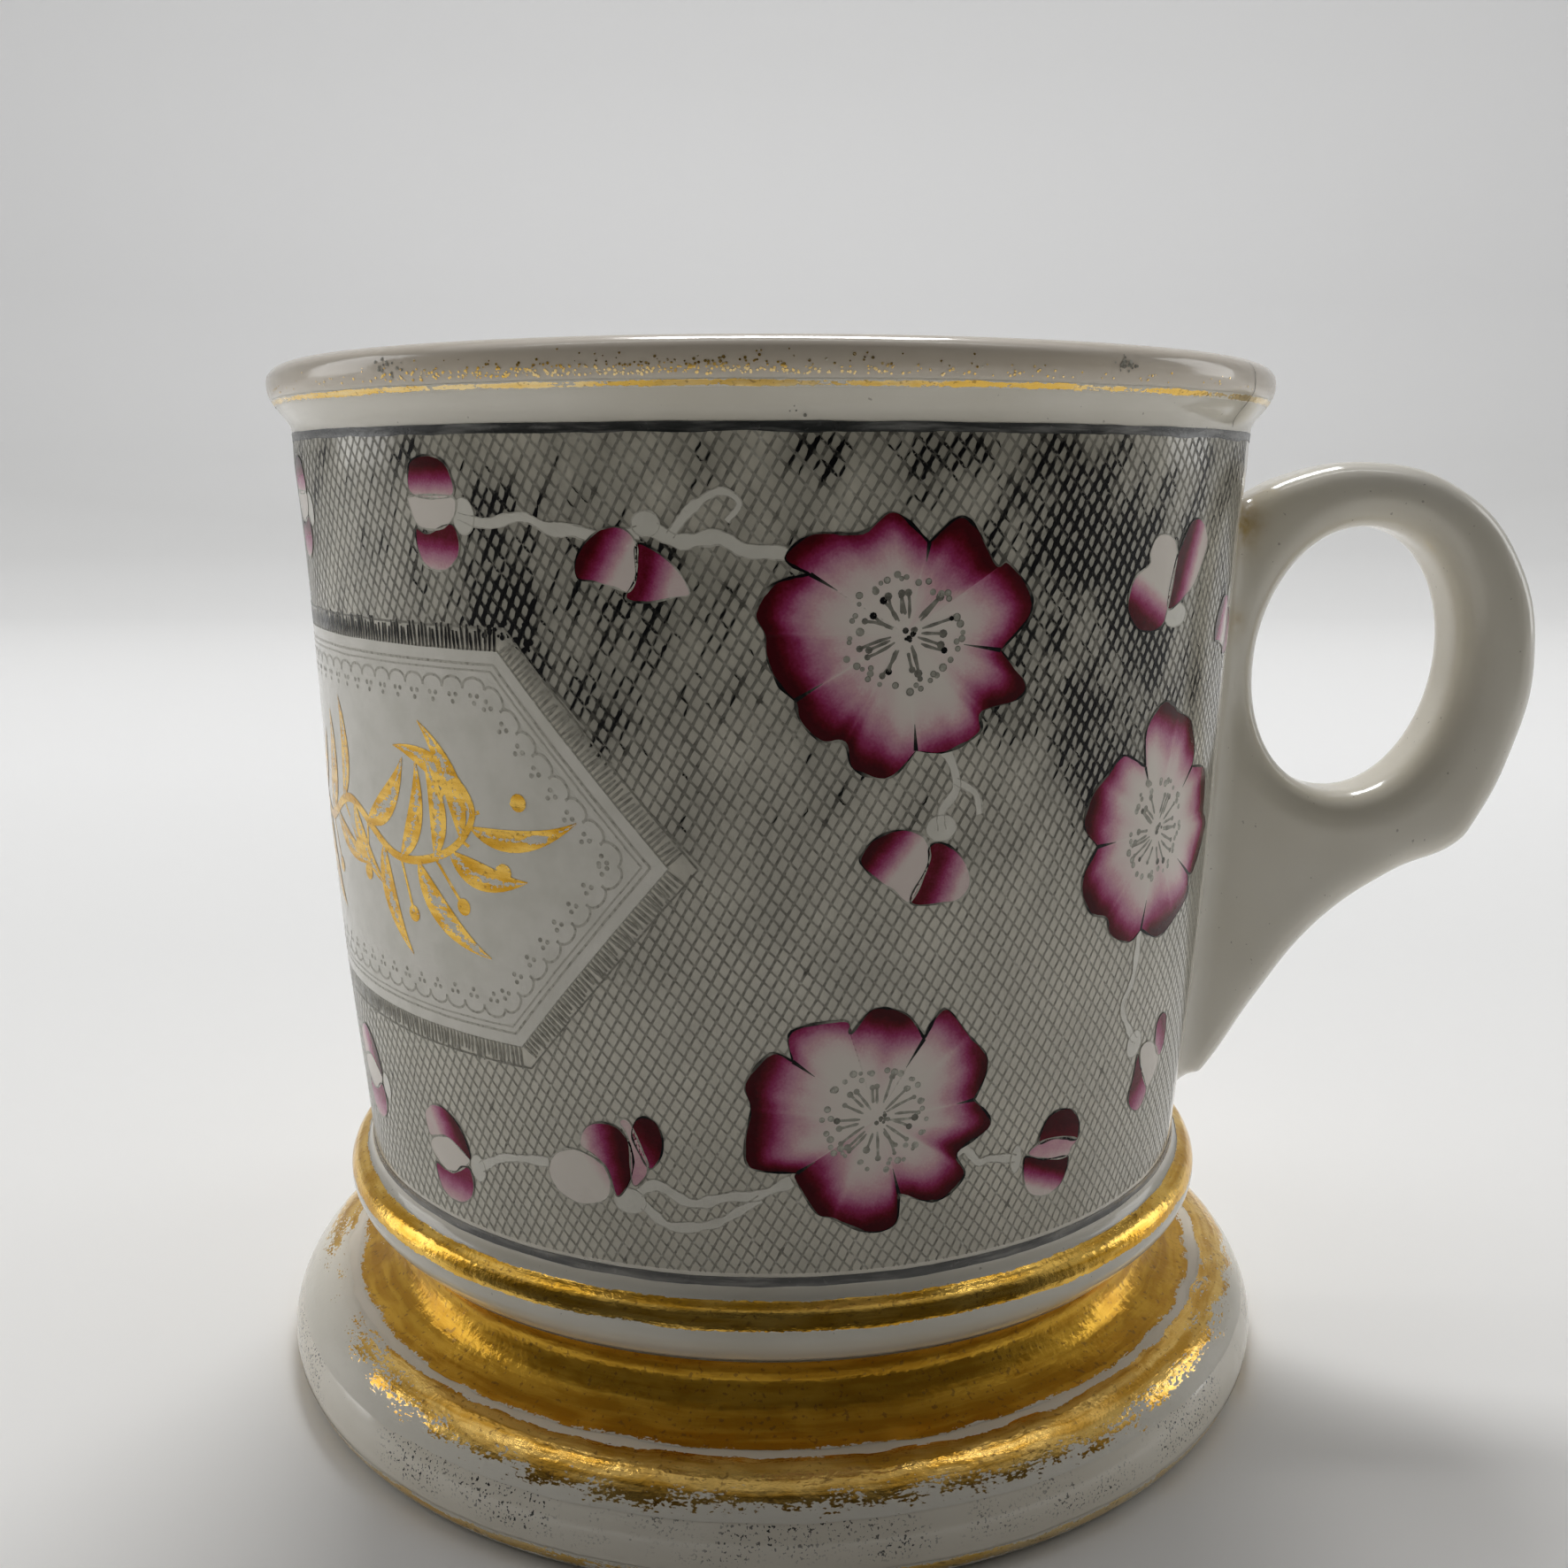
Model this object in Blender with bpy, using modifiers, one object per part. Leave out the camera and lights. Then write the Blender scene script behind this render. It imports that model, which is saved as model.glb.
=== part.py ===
"""A porcelain shaving mug: a cup with a rolled lip, luted to a hollow pedestal foot and to a
ring handle, with gilt bands, border lines, a printed ground and a reserved name panel fired
on its glaze. Metres, +Z up, the foot on Z = 0, the handle towards +X."""

import math

import bmesh
import bpy

MM = 0.001

# Facets round the mug. Every turned solid and every coating shares them, so that a coating
# follows the clay facet by facet.
FACETS = 64
STEP = math.tau / FACETS

# The mug's axis, off the origin by half of what the handle adds to the length.
AXIS_X = -12.55 * MM

# Sections as (radius, height) in millimetres, in order down the outside.
INSIDE = [
    (0.0, 18.4), (27.0, 18.4), (31.6, 19.2), (34.6, 21.4), (36.2, 24.8), (37.0, 30.0),
    (37.7, 40.0), (38.4, 54.0), (39.0, 70.0), (39.7, 84.0), (39.9, 88.6), (40.4, 90.3), (41.6, 91.5),
]
LIP = [(43.1, 91.9), (44.3, 91.6), (45.0, 90.9), (45.1, 90.1), (44.9, 89.2), (44.5, 88.6)]
NECK = [(44.2, 88.1), (43.6, 87.4), (43.3, 86.9)]
WALL = [
    (43.2, 86.4), (43.1, 83.8), (42.7, 78.4), (42.4, 72.8), (42.0, 62.6), (41.7, 54.0),
    (41.1, 42.4), (40.4, 33.4), (39.8, 27.0), (39.5, 22.6), (39.5, 21.0),
]
RING = [
    (39.7, 20.5), (40.1, 20.2), (40.9, 19.8), (41.4, 19.1), (41.6, 18.4), (41.5, 17.5),
    (41.1, 16.7), (40.4, 15.9), (39.4, 14.9),
]
SCOTIA = [
    (39.0, 14.5), (37.8, 14.0), (37.1, 13.2), (36.9, 12.2), (37.2, 11.1), (38.1, 9.9),
    (39.6, 9.0), (41.2, 8.6), (42.6, 8.5),
]
ROLL = [(43.3, 8.4), (44.6, 7.9), (45.8, 7.0), (46.7, 5.8), (47.3, 4.5), (47.5, 3.4)]
EDGE = [(47.4, 2.3), (47.1, 1.4), (46.6, 0.6), (45.8, 0.0)]
UNDERSIDE = [
    (41.6, 0.0), (40.8, 0.5), (40.0, 3.0), (37.6, 5.6), (34.6, 8.2), (33.4, 10.6), (33.0, 14.5),
]

CUP_BASE_Z = 14.9
FOOT_TOP_Z = 14.5
SLIP_INNER_R = 33.4
SLIP_OUTER_R = 38.7
SLIP_GAP = 0.05

# The coatings are modelled thicker than the few micrometres they really are.
FILM_GAP = 0.05
FILM_THICKNESS = 0.1

# Heights of the painted lines and of the printed ground, each as (top, bottom).
RIM_LINE = (89.0, 88.45)
RING_BAND = (20.2, 18.4)
UPPER_BORDER = (86.3, 85.4)
LOWER_BORDER = (22.0, 21.1)
PRINTED_GROUND = (85.2, 22.2)

# The printed ground stops short of the handle by this many facets on each side.
RESERVED_FACETS = 4

# The name panel is a long hexagon on the side away from the handle. Its corners are given
# as half-angles from its middle, and heights.
PANEL_TIP = math.radians(79.5)
PANEL_CORNER = math.radians(61.7)
PANEL_TOP_Z = 70.1
PANEL_BOTTOM_Z = 39.5
PANEL_GAP = 0.15
PANEL_FACETS = math.ceil(PANEL_TIP / STEP) + 2

# The handle's outline in the plane y = 0, as (distance from the mug's axis, height): the
# round of the ring, then the sweep from the spur down to the tail. The root runs on into
# the cup, where it is trimmed to the wall.
HANDLE_RING = [
    (42.4, 79.6), (48.0, 82.6), (56.0, 84.0), (64.0, 81.8), (70.0, 75.6), (72.6, 65.4), (70.9, 56.2),
]
HANDLE_SPUR = [(68.1, 49.8), (66.7, 47.8)]
HANDLE_SWEEP = [(60.4, 44.8), (53.2, 39.4), (47.6, 32.0), (44.2, 26.4)]
HANDLE_ROOT = [(42.6, 24.1), (36.0, 23.7), (36.0, 77.8)]
HOLE_CENTRE = (55.3, 65.4)
HOLE_HALF_LENGTH = 12.7
HOLE_HALF_WIDTH = 9.5
HOLE_TILT = math.radians(7.0)
HANDLE_HALF_WIDTH = 5.0
HANDLE_ROUNDING = 2.8
ROOT_GAP = 0.4
TRIM_TOP_Z = 88.0
TRIM_BOTTOM_Z = 18.0

# Each finish as its colour, roughness and metallic.
FINISHES = {
    "cup_porcelain": ((0.78, 0.77, 0.73), 0.18, 0.0),
    "foot_porcelain": ((0.78, 0.77, 0.73), 0.2, 0.0),
    "handle_porcelain": ((0.77, 0.76, 0.72), 0.18, 0.0),
    "fired_slip": ((0.74, 0.72, 0.67), 0.5, 0.0),
    "gilding": ((0.83, 0.58, 0.2), 0.28, 1.0),
    "dark_enamel": ((0.07, 0.08, 0.08), 0.35, 0.0),
    "transfer_print": ((0.42, 0.42, 0.4), 0.3, 0.0),
    "reserved_panel": ((0.8, 0.8, 0.77), 0.2, 0.0),
}


def material(name):
    colour, roughness, metallic = FINISHES[name]
    made = bpy.data.materials.new(name)
    made.use_nodes = True
    shader = made.node_tree.nodes["Principled BSDF"]
    shader.inputs["Base Color"].default_value = (*colour, 1.0)
    shader.inputs["Roughness"].default_value = roughness
    shader.inputs["Metallic"].default_value = metallic
    return made


def add(name, mesh, collection, made_of=None):
    obj = bpy.data.objects.new(name, mesh)
    obj.location.x = AXIS_X
    if made_of:
        mesh.materials.append(made_of)
    collection.objects.link(obj)
    return obj


def turned(name, section, collection, made_of=None, closed=False):
    """A solid of revolution. An open section has both of its ends on the axis."""
    mesh = bpy.data.meshes.new(name)
    count = len(section)
    edges = [(i, i + 1) for i in range(count - 1)]
    if closed:
        edges.append((count - 1, 0))
    mesh.from_pydata([(r * MM, 0.0, z * MM) for r, z in section], edges, [])
    obj = add(name, mesh, collection, made_of)
    screw = obj.modifiers.new("Turning", "SCREW")
    screw.axis = "Z"
    screw.steps = FACETS
    screw.render_steps = FACETS
    screw.use_merge_vertices = True
    screw.merge_threshold = 0.00001
    screw.use_normal_calculate = False
    return obj


def offset(section, distance):
    """The section moved sideways, outwards from the clay, each corner mitred."""
    normals = []
    for (r0, z0), (r1, z1) in zip(section, section[1:]):
        length = math.hypot(r1 - r0, z1 - z0)
        normals.append(((z0 - z1) / length, (r1 - r0) / length))
    moved = []
    for i, (r, z) in enumerate(section):
        before = normals[max(i - 1, 0)]
        after = normals[min(i, len(normals) - 1)]
        nr, nz = before[0] + after[0], before[1] + after[1]
        scale = 2.0 * distance / (nr * nr + nz * nz)
        moved.append((r + nr * scale, z + nz * scale))
    return moved


def band(name, section, collection, made_of):
    """A coating all the way round, over this stretch of the outside."""
    outer = offset(section, FILM_GAP + FILM_THICKNESS)
    inner = offset(section, FILM_GAP)
    return turned(name, outer + inner[::-1], collection, made_of, closed=True)


def wall_radius(z):
    for (r0, z0), (r1, z1) in zip(WALL, WALL[1:]):
        if z1 <= z <= z0:
            return r1 + (r0 - r1) * (z - z1) / (z0 - z1)
    return WALL[0][0] if z > WALL[0][1] else WALL[-1][0]


def on_wall(angle, z, gap):
    """The point of the faceted wall at this angle from the handle and height."""
    across = (angle % STEP) - STEP / 2.0
    radius = (wall_radius(z) + gap) * math.cos(STEP / 2.0) / math.cos(across)
    return (radius * MM * math.cos(angle), radius * MM * math.sin(angle), z * MM)


def slice_sheet(sheet, point, normal, clear_outer=False):
    bmesh.ops.bisect_plane(
        sheet, geom=sheet.verts[:] + sheet.edges[:] + sheet.faces[:], dist=1e-7,
        plane_co=(*point, 0.0), plane_no=(*normal, 0.0), clear_outer=clear_outer,
    )


def wall_sheet(first, last, bottom, top):
    """A flat sheet over the wall, unrolled as (angle, height), cut at every facet and level."""
    sheet = bmesh.new()
    bmesh.ops.create_grid(sheet, x_segments=1, y_segments=1, size=0.5)
    middle = ((first + last) * STEP / 2.0, (bottom + top) / 2.0)
    bmesh.ops.scale(sheet, vec=((last - first) * STEP, top - bottom, 1.0), verts=sheet.verts)
    bmesh.ops.translate(sheet, vec=(*middle, 0.0), verts=sheet.verts)
    for i in range(first + 1, last):
        slice_sheet(sheet, (i * STEP, 0.0), (1.0, 0.0))
    for _, z in WALL:
        if bottom < z < top:
            slice_sheet(sheet, (0.0, z), (0.0, 1.0))
    return sheet


def hexagon(margin):
    """The panel's corners on the unrolled wall, with every side moved out by this margin."""
    middle = (PANEL_TOP_Z + PANEL_BOTTOM_Z) / 2.0
    radius = wall_radius(middle)
    rise, run = PANEL_TOP_Z - middle, (PANEL_TIP - PANEL_CORNER) * radius
    slant = math.hypot(rise, run)
    corner = PANEL_CORNER + margin * (slant - run) / rise / radius
    tip = PANEL_TIP + margin * slant / rise / radius
    top, bottom = PANEL_TOP_Z + margin, PANEL_BOTTOM_Z - margin
    corners = [(corner, bottom), (tip, middle), (corner, top), (-corner, top), (-tip, middle)]
    corners.append((-corner, bottom))
    return [(math.pi + angle, z) for angle, z in corners]


def cut_by(sheet, corners, keep_inside):
    """Cuts the sheet along the sides of a convex outline, and keeps one side of it."""
    sides = []
    for (x0, y0), (x1, y1) in zip(corners, corners[1:] + corners[:1]):
        sides.append(((x0, y0), (y1 - y0, x0 - x1)))
    for point, normal in sides:
        slice_sheet(sheet, point, normal, clear_outer=keep_inside)
    if keep_inside:
        return
    inside = []
    for face in sheet.faces:
        middle = face.calc_center_median()
        if all((middle.x - x) * nx + (middle.y - y) * ny < 0.0 for (x, y), (nx, ny) in sides):
            inside.append(face)
    bmesh.ops.delete(sheet, geom=inside, context="FACES")


def wall_film(name, sheet, collection, made_of):
    """Wraps a flat sheet onto the wall and gives it the thickness of a coating."""
    for vertex in sheet.verts:
        vertex.co = on_wall(vertex.co.x, vertex.co.y, FILM_GAP)
    mesh = bpy.data.meshes.new(name)
    sheet.to_mesh(mesh)
    sheet.free()
    film = add(name, mesh, collection, made_of)
    thickness = film.modifiers.new("Thickness", "SOLIDIFY")
    thickness.thickness = FILM_THICKNESS * MM
    thickness.offset = 1.0
    thickness.use_even_offset = True
    return film


def outline_spline(curve, points, sharp=()):
    """A closed spline of the curve through these points, straight into the sharp ones."""
    spline = curve.splines.new("BEZIER")
    spline.bezier_points.add(len(points) - 1)
    spline.use_cyclic_u = True
    spline.resolution_u = 4
    for knot, point in zip(spline.bezier_points, points):
        knot.co = (point[0] * MM, point[1] * MM, 0.0)
        corner = "VECTOR" if point in sharp else "AUTO"
        knot.handle_left_type = corner
        knot.handle_right_type = corner


def handle_blank(name, collection, made_of):
    """The handle before its root is trimmed: its outline, extruded, with rounded edges."""
    curve = bpy.data.curves.new(name + "_outline", "CURVE")
    curve.dimensions = "2D"
    curve.fill_mode = "BOTH"
    curve.extrude = (HANDLE_HALF_WIDTH - HANDLE_ROUNDING) * MM
    curve.bevel_depth = HANDLE_ROUNDING * MM
    curve.bevel_resolution = 3
    curve.offset = -HANDLE_ROUNDING * MM
    outline_spline(curve, HANDLE_RING + HANDLE_SPUR + HANDLE_SWEEP + HANDLE_ROOT, HANDLE_ROOT)
    hole = []
    for turn in (0.0, 0.25, 0.5, 0.75):
        along = HOLE_HALF_LENGTH * math.cos(turn * math.tau)
        across = HOLE_HALF_WIDTH * math.sin(turn * math.tau)
        hole.append((
            HOLE_CENTRE[0] + along * math.sin(HOLE_TILT) + across * math.cos(HOLE_TILT),
            HOLE_CENTRE[1] + along * math.cos(HOLE_TILT) - across * math.sin(HOLE_TILT),
        ))
    outline_spline(curve, hole)
    curve.splines[-1].resolution_u = 10
    drawn = bpy.data.objects.new(name + "_outline", curve)
    blank = add(name, bpy.data.meshes.new_from_object(drawn), collection, made_of)
    bpy.data.objects.remove(drawn)
    blank.rotation_euler.x = math.pi / 2.0
    weld = blank.modifiers.new("Weld", "WELD")
    weld.merge_threshold = 0.00001
    return blank


def boolean(obj, operation, other):
    cut = obj.modifiers.new(operation.title(), "BOOLEAN")
    cut.operation = operation
    cut.solver = "EXACT"
    cut.object = other


def between(section, top, bottom):
    """The stretch of a section from one height down to another."""
    def at(z):
        for (r0, z0), (r1, z1) in zip(section, section[1:]):
            if z1 <= z <= z0:
                return (r1 + (r0 - r1) * (z - z1) / (z0 - z1), z)
        raise ValueError(z)

    return [at(top)] + [p for p in section if bottom < p[1] < top] + [at(bottom)]


def root_cutters(collection):
    """What trims the handle to the wall, and the thin shell of slip left between them."""
    surface = NECK[1:] + WALL + RING[:3]
    trim = offset(surface, ROOT_GAP)
    ends = (0.0, TRIM_TOP_Z), (0.0, TRIM_BOTTOM_Z)
    trimmer = turned("root_trimmer", [ends[0]] + trim + [ends[1]], collection)
    outer, inner = offset(surface, ROOT_GAP - SLIP_GAP), offset(surface, SLIP_GAP)
    shell = turned("slip_shell", outer + inner[::-1], collection, closed=True)
    return trimmer, shell


def main():
    for obj in list(bpy.data.objects):
        bpy.data.objects.remove(obj, do_unlink=True)
    scene = bpy.context.scene
    parts = bpy.data.collections.new("shaving_mug")
    helpers = bpy.data.collections.new("cutters")
    scene.collection.children.link(parts)
    scene.collection.children.link(helpers)
    finish = {name: material(name) for name in FINISHES}

    outside = LIP + NECK + WALL + RING
    turned("cup", INSIDE + outside + [(0.0, CUP_BASE_Z)], parts, finish["cup_porcelain"])
    turned("foot", SCOTIA + ROLL + EDGE + UNDERSIDE, parts, finish["foot_porcelain"], closed=True)
    turned("foot_slip", [
        (SLIP_INNER_R, CUP_BASE_Z - SLIP_GAP), (SLIP_OUTER_R, CUP_BASE_Z - SLIP_GAP),
        (SLIP_OUTER_R, FOOT_TOP_Z + SLIP_GAP), (SLIP_INNER_R, FOOT_TOP_Z + SLIP_GAP),
    ], parts, finish["fired_slip"], closed=True)

    band("rim_gilt_line", between(LIP + NECK, *RIM_LINE), parts, finish["gilding"])
    band("upper_border_line", between(WALL, *UPPER_BORDER), parts, finish["dark_enamel"])
    band("lower_border_line", between(WALL, *LOWER_BORDER), parts, finish["dark_enamel"])
    band("ring_gilt_band", between(RING, *RING_BAND), parts, finish["gilding"])
    band("scotia_gilt_band", SCOTIA[1:], parts, finish["gilding"])
    band("foot_gilt_band", ROLL[:4], parts, finish["gilding"])
    band("foot_edge_gilt_line", EDGE[:3], parts, finish["gilding"])

    top, bottom = PRINTED_GROUND
    ground = wall_sheet(RESERVED_FACETS, FACETS - RESERVED_FACETS, bottom, top)
    cut_by(ground, hexagon(PANEL_GAP), keep_inside=False)
    wall_film("printed_ground", ground, parts, finish["transfer_print"])
    panel = wall_sheet(FACETS // 2 - PANEL_FACETS, FACETS // 2 + PANEL_FACETS, bottom, top)
    cut_by(panel, hexagon(0.0), keep_inside=True)
    wall_film("name_panel", panel, parts, finish["reserved_panel"])

    trimmer, shell = root_cutters(helpers)
    handle = handle_blank("handle", parts, finish["handle_porcelain"])
    boolean(handle, "DIFFERENCE", trimmer)
    pad = handle_blank("handle_slip", parts, finish["fired_slip"])
    boolean(pad, "INTERSECT", shell)
    for helper in helpers.objects:
        helper.hide_render = True
        helper.display_type = "WIRE"


main()
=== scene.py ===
"""The looks of the porcelain shaving mug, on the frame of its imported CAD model.

The clay pieces are turned again from the CAD outlines with many more facets, the handle is
remeshed and blended into the wall, and the coatings become what they really are: worn gold,
painted lines, a cross-hatched transfer print, flowers, buds, stems and a reserved panel.
Lengths are in millimetres until a point is placed, and the scene itself is in metres."""

import math
import random

import bmesh
import bpy
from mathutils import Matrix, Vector, noise


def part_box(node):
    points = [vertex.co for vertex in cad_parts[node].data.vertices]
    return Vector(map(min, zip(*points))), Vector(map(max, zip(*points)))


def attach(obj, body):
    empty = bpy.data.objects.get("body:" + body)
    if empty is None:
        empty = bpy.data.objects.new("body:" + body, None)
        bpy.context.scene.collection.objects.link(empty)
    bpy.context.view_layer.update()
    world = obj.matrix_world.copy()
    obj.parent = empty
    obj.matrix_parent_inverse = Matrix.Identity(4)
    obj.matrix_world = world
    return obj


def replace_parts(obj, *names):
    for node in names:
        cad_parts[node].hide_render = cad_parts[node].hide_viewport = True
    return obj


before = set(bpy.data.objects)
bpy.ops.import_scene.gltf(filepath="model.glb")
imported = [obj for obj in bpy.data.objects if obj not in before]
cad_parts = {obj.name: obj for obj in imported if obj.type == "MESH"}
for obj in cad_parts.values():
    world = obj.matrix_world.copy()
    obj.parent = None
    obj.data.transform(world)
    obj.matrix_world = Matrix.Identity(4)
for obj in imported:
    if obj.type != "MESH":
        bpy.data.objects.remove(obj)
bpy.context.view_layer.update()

# Without a seed, noise_vector starts from the clock.
noise.seed_set(1)

MM = 0.001
BODY = "root"

cup_low, cup_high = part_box("cup")
AXIS_X = (cup_low.x + cup_high.x) / 2.0

# The wall is unrolled at this radius to draw on it.
ROLL_RADIUS = 41.7
# How many facets a turned piece has, how far apart the points of its outline are, and how sharp a
# corner of the outline has to be to stay sharp.
TURNS = 256
CUP_SPACING, FOOT_SPACING = 0.7, 0.5
SHARP_CORNER = math.radians(50.0)


# ------------------------------------------------------------------ outlines from the frame

def outline_links(node):
    """Each point of a turned CAD node's outline, as (radius, height), with its neighbours."""
    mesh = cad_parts[node].data
    here = {}
    for vertex in mesh.vertices:
        radius = vertex.co.x - AXIS_X
        if abs(vertex.co.y) < 2e-6 and radius > -1e-6:
            here[vertex.index] = (round(radius / MM, 2), round(vertex.co.z / MM, 2))
    links = {}
    for edge in mesh.edges:
        a, b = (here.get(i) for i in edge.vertices)
        if a and b and a != b:
            links.setdefault(a, set()).add(b)
            links.setdefault(b, set()).add(a)
    return links


def walk(links, start, before=None):
    """The points from this one on, each linked to the one ahead of it."""
    line = [start]
    while True:
        ahead = [p for p in links[line[-1]] if p != before and p not in line]
        if not ahead:
            return line
        before = line[-1]
        line.append(ahead[0])


def neighbours(line, i):
    """The points before and after this one. At an end of the line, one of them is the end itself."""
    return line[max(i - 1, 0)], line[min(i + 1, len(line) - 1)]


def between(a, b, t):
    """The point this share of the way from the one to the other."""
    return (a[0] + (b[0] - a[0]) * t, a[1] + (b[1] - a[1]) * t)


def sides(corners):
    """Each point of a closed line, with the one after it."""
    return zip(corners, corners[1:] + corners[:1])


def smoothed(line, spacing):
    """The line as a curve of points this far apart, with its sharp corners kept."""
    tangents = []
    for i, p in enumerate(line):
        a, b = neighbours(line, i)
        before, after = math.dist(a, p), math.dist(p, b)
        if before == 0.0 or after == 0.0:
            tangents.append(None)
            continue
        inward = ((p[0] - a[0]) / before, (p[1] - a[1]) / before)
        outward = ((b[0] - p[0]) / after, (b[1] - p[1]) / after)
        if inward[0] * outward[0] + inward[1] * outward[1] < math.cos(SHARP_CORNER):
            tangents.append(None)
            continue
        tangents.append(tuple(
            (u * after + v * before) / (before + after) for u, v in zip(inward, outward)
        ))
    curve = [line[0]]
    for p, q, tp, tq in zip(line, line[1:], tangents, tangents[1:]):
        length = math.dist(p, q)
        straight = ((q[0] - p[0]) / length, (q[1] - p[1]) / length)
        tp, tq = tp or straight, tq or straight
        steps = max(1, math.ceil(length / spacing))
        for k in range(1, steps + 1):
            t = k / steps
            h1, h2 = 2 * t**3 - 3 * t**2 + 1, t**3 - 2 * t**2 + t
            h3, h4 = -2 * t**3 + 3 * t**2, t**3 - t**2
            curve.append(tuple(
                h1 * p[i] + h2 * length * tp[i] + h3 * q[i] + h4 * length * tq[i] for i in (0, 1)
            ))
    return curve


cup_links = outline_links("cup")
cup_start = min((p for p, near in cup_links.items() if len(near) == 1), key=lambda p: p[0])
cup_line = smoothed(walk(cup_links, cup_start), CUP_SPACING)
foot_links = outline_links("foot")
foot_start = max(foot_links, key=lambda p: (p[1], p[0]))
foot_inner_top = max((p for p in foot_links if p != foot_start), key=lambda p: (p[1], p[0]))
foot_walk = walk(foot_links, foot_start, foot_inner_top)
foot_line = [(r, max(z, 0.0)) for r, z in smoothed(foot_walk, FOOT_SPACING)]

rim_index = max(range(len(cup_line)), key=lambda i: cup_line[i][1])
cup_outside = cup_line[rim_index:]
foot_outside = foot_line[:1 + min(i for i, p in enumerate(foot_line) if p[1] < 0.001)]


def outside_radius(z):
    for (r0, z0), (r1, z1) in zip(cup_outside, cup_outside[1:]):
        if z1 <= z <= z0 and z0 > z1:
            return r1 + (r0 - r1) * (z - z1) / (z0 - z1)
    return cup_outside[0][0]


RADIUS_STEP = 0.25
RADII = [outside_radius(k * RADIUS_STEP) for k in range(int(cup_outside[0][1] / RADIUS_STEP) + 1)]


def radius_at(z):
    """The radius of the outside at this height, on the stretches that don't fold back."""
    k = min(max(z / RADIUS_STEP, 0.0), len(RADII) - 1.001)
    return RADII[int(k)] + (RADII[int(k) + 1] - RADII[int(k)]) * (k % 1.0)


# How far the clay strays from a true turned shape.
UNEVEN = 0.09


def unevenness(angle, z):
    """How far the hand-finished clay falls short of a true turned shape."""
    slow = noise.noise(Vector((math.cos(angle) * 0.9, math.sin(angle) * 0.9, z * 0.012)))
    return -UNEVEN + UNEVEN * slow


def around(angle, radius, z):
    radius = (radius + unevenness(angle, z)) * MM
    return Vector((AXIS_X + radius * math.cos(angle), radius * math.sin(angle), z * MM))


# ------------------------------------------------------------------ materials

class Shader:
    """A material's node tree, built by naming what feeds what."""

    def __init__(self, name):
        self.material = bpy.data.materials.new(name)
        self.material.use_nodes = True
        self.tree = self.material.node_tree
        self.main = self.tree.nodes["Principled BSDF"]

    def node(self, kind, **inputs):
        made = self.tree.nodes.new("ShaderNode" + kind)
        for key, value in inputs.items():
            self.feed(value, made.inputs[key.replace("_", " ")])
        return made

    def feed(self, value, socket):
        if isinstance(value, bpy.types.NodeSocket):
            self.tree.links.new(value, socket)
        else:
            socket.default_value = value

    def set(self, **inputs):
        for key, value in inputs.items():
            self.feed(value, self.main.inputs[key.replace("_", " ")])

    def attribute(self, name, output="Fac"):
        made = self.tree.nodes.new("ShaderNodeAttribute")
        made.attribute_name = name
        return made.outputs[output]

    def noise(self, scale, detail, stretch=(1.0, 1.0, 1.0), distortion=0.0):
        """Noise over the unrolled surface, which is measured in millimetres."""
        place = self.node("Mapping", Scale=stretch, Vector=self.attribute("place", "Vector"))
        made = self.node(
            "TexNoise", Vector=place.outputs["Vector"], Scale=scale, Detail=detail,
            Distortion=distortion,
        )
        return made.outputs["Fac"]

    def math(self, operation, a, b, clamp=False):
        made = self.tree.nodes.new("ShaderNodeMath")
        made.operation = operation
        made.use_clamp = clamp
        self.feed(a, made.inputs[0])
        self.feed(b, made.inputs[1])
        return made.outputs[0]

    def times(self, a, b, clamp=False):
        return self.math("MULTIPLY", a, b, clamp)

    def plus(self, a, b, clamp=False):
        return self.math("ADD", a, b, clamp)

    def swing(self, width, *texture):
        """Noise that swings about zero."""
        return self.times(self.math("SUBTRACT", self.noise(*texture), 0.5), width)

    def ramp(self, value, stops, smooth=True):
        made = self.tree.nodes.new("ShaderNodeValToRGB")
        ramp = made.color_ramp
        ramp.interpolation = "EASE" if smooth else "LINEAR"
        while len(ramp.elements) < len(stops):
            ramp.elements.new(0.5)
        for element, (position, colour) in zip(ramp.elements, stops):
            element.position = position
            if isinstance(colour, (int, float)):
                colour = (colour, colour, colour)
            element.color = (*colour, 1.0)
        self.feed(value, made.inputs["Fac"])
        return made.outputs["Color"]

    def rise(self, value, low, high, smooth=True):
        """From 0 where the value is low to 1 where it is high."""
        return self.ramp(value, ((low, 0.0), (high, 1.0)), smooth)

    def mix(self, factor, a, b):
        made = self.tree.nodes.new("ShaderNodeMix")
        made.data_type = "RGBA"
        self.feed(factor, made.inputs["Factor"])
        self.feed(a if isinstance(a, bpy.types.NodeSocket) else (*a, 1.0), made.inputs["A"])
        self.feed(b if isinstance(b, bpy.types.NodeSocket) else (*b, 1.0), made.inputs["B"])
        return made.outputs["Result"]

    def range(self, value, low, high, to_low, to_high):
        made = self.node(
            "MapRange", Value=value, From_Min=low, From_Max=high, To_Min=to_low, To_Max=to_high
        )
        return made.outputs["Result"]

    def dullness(self, low, high, *texture):
        """A roughness that drifts from the one to the other."""
        return self.range(self.noise(*texture), 0.3, 0.7, low, high)

    def bump(self, height, distance, strength, **more):
        made = self.node("Bump", Height=height, Distance=distance, Strength=strength, **more)
        return made.outputs["Normal"]


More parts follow.
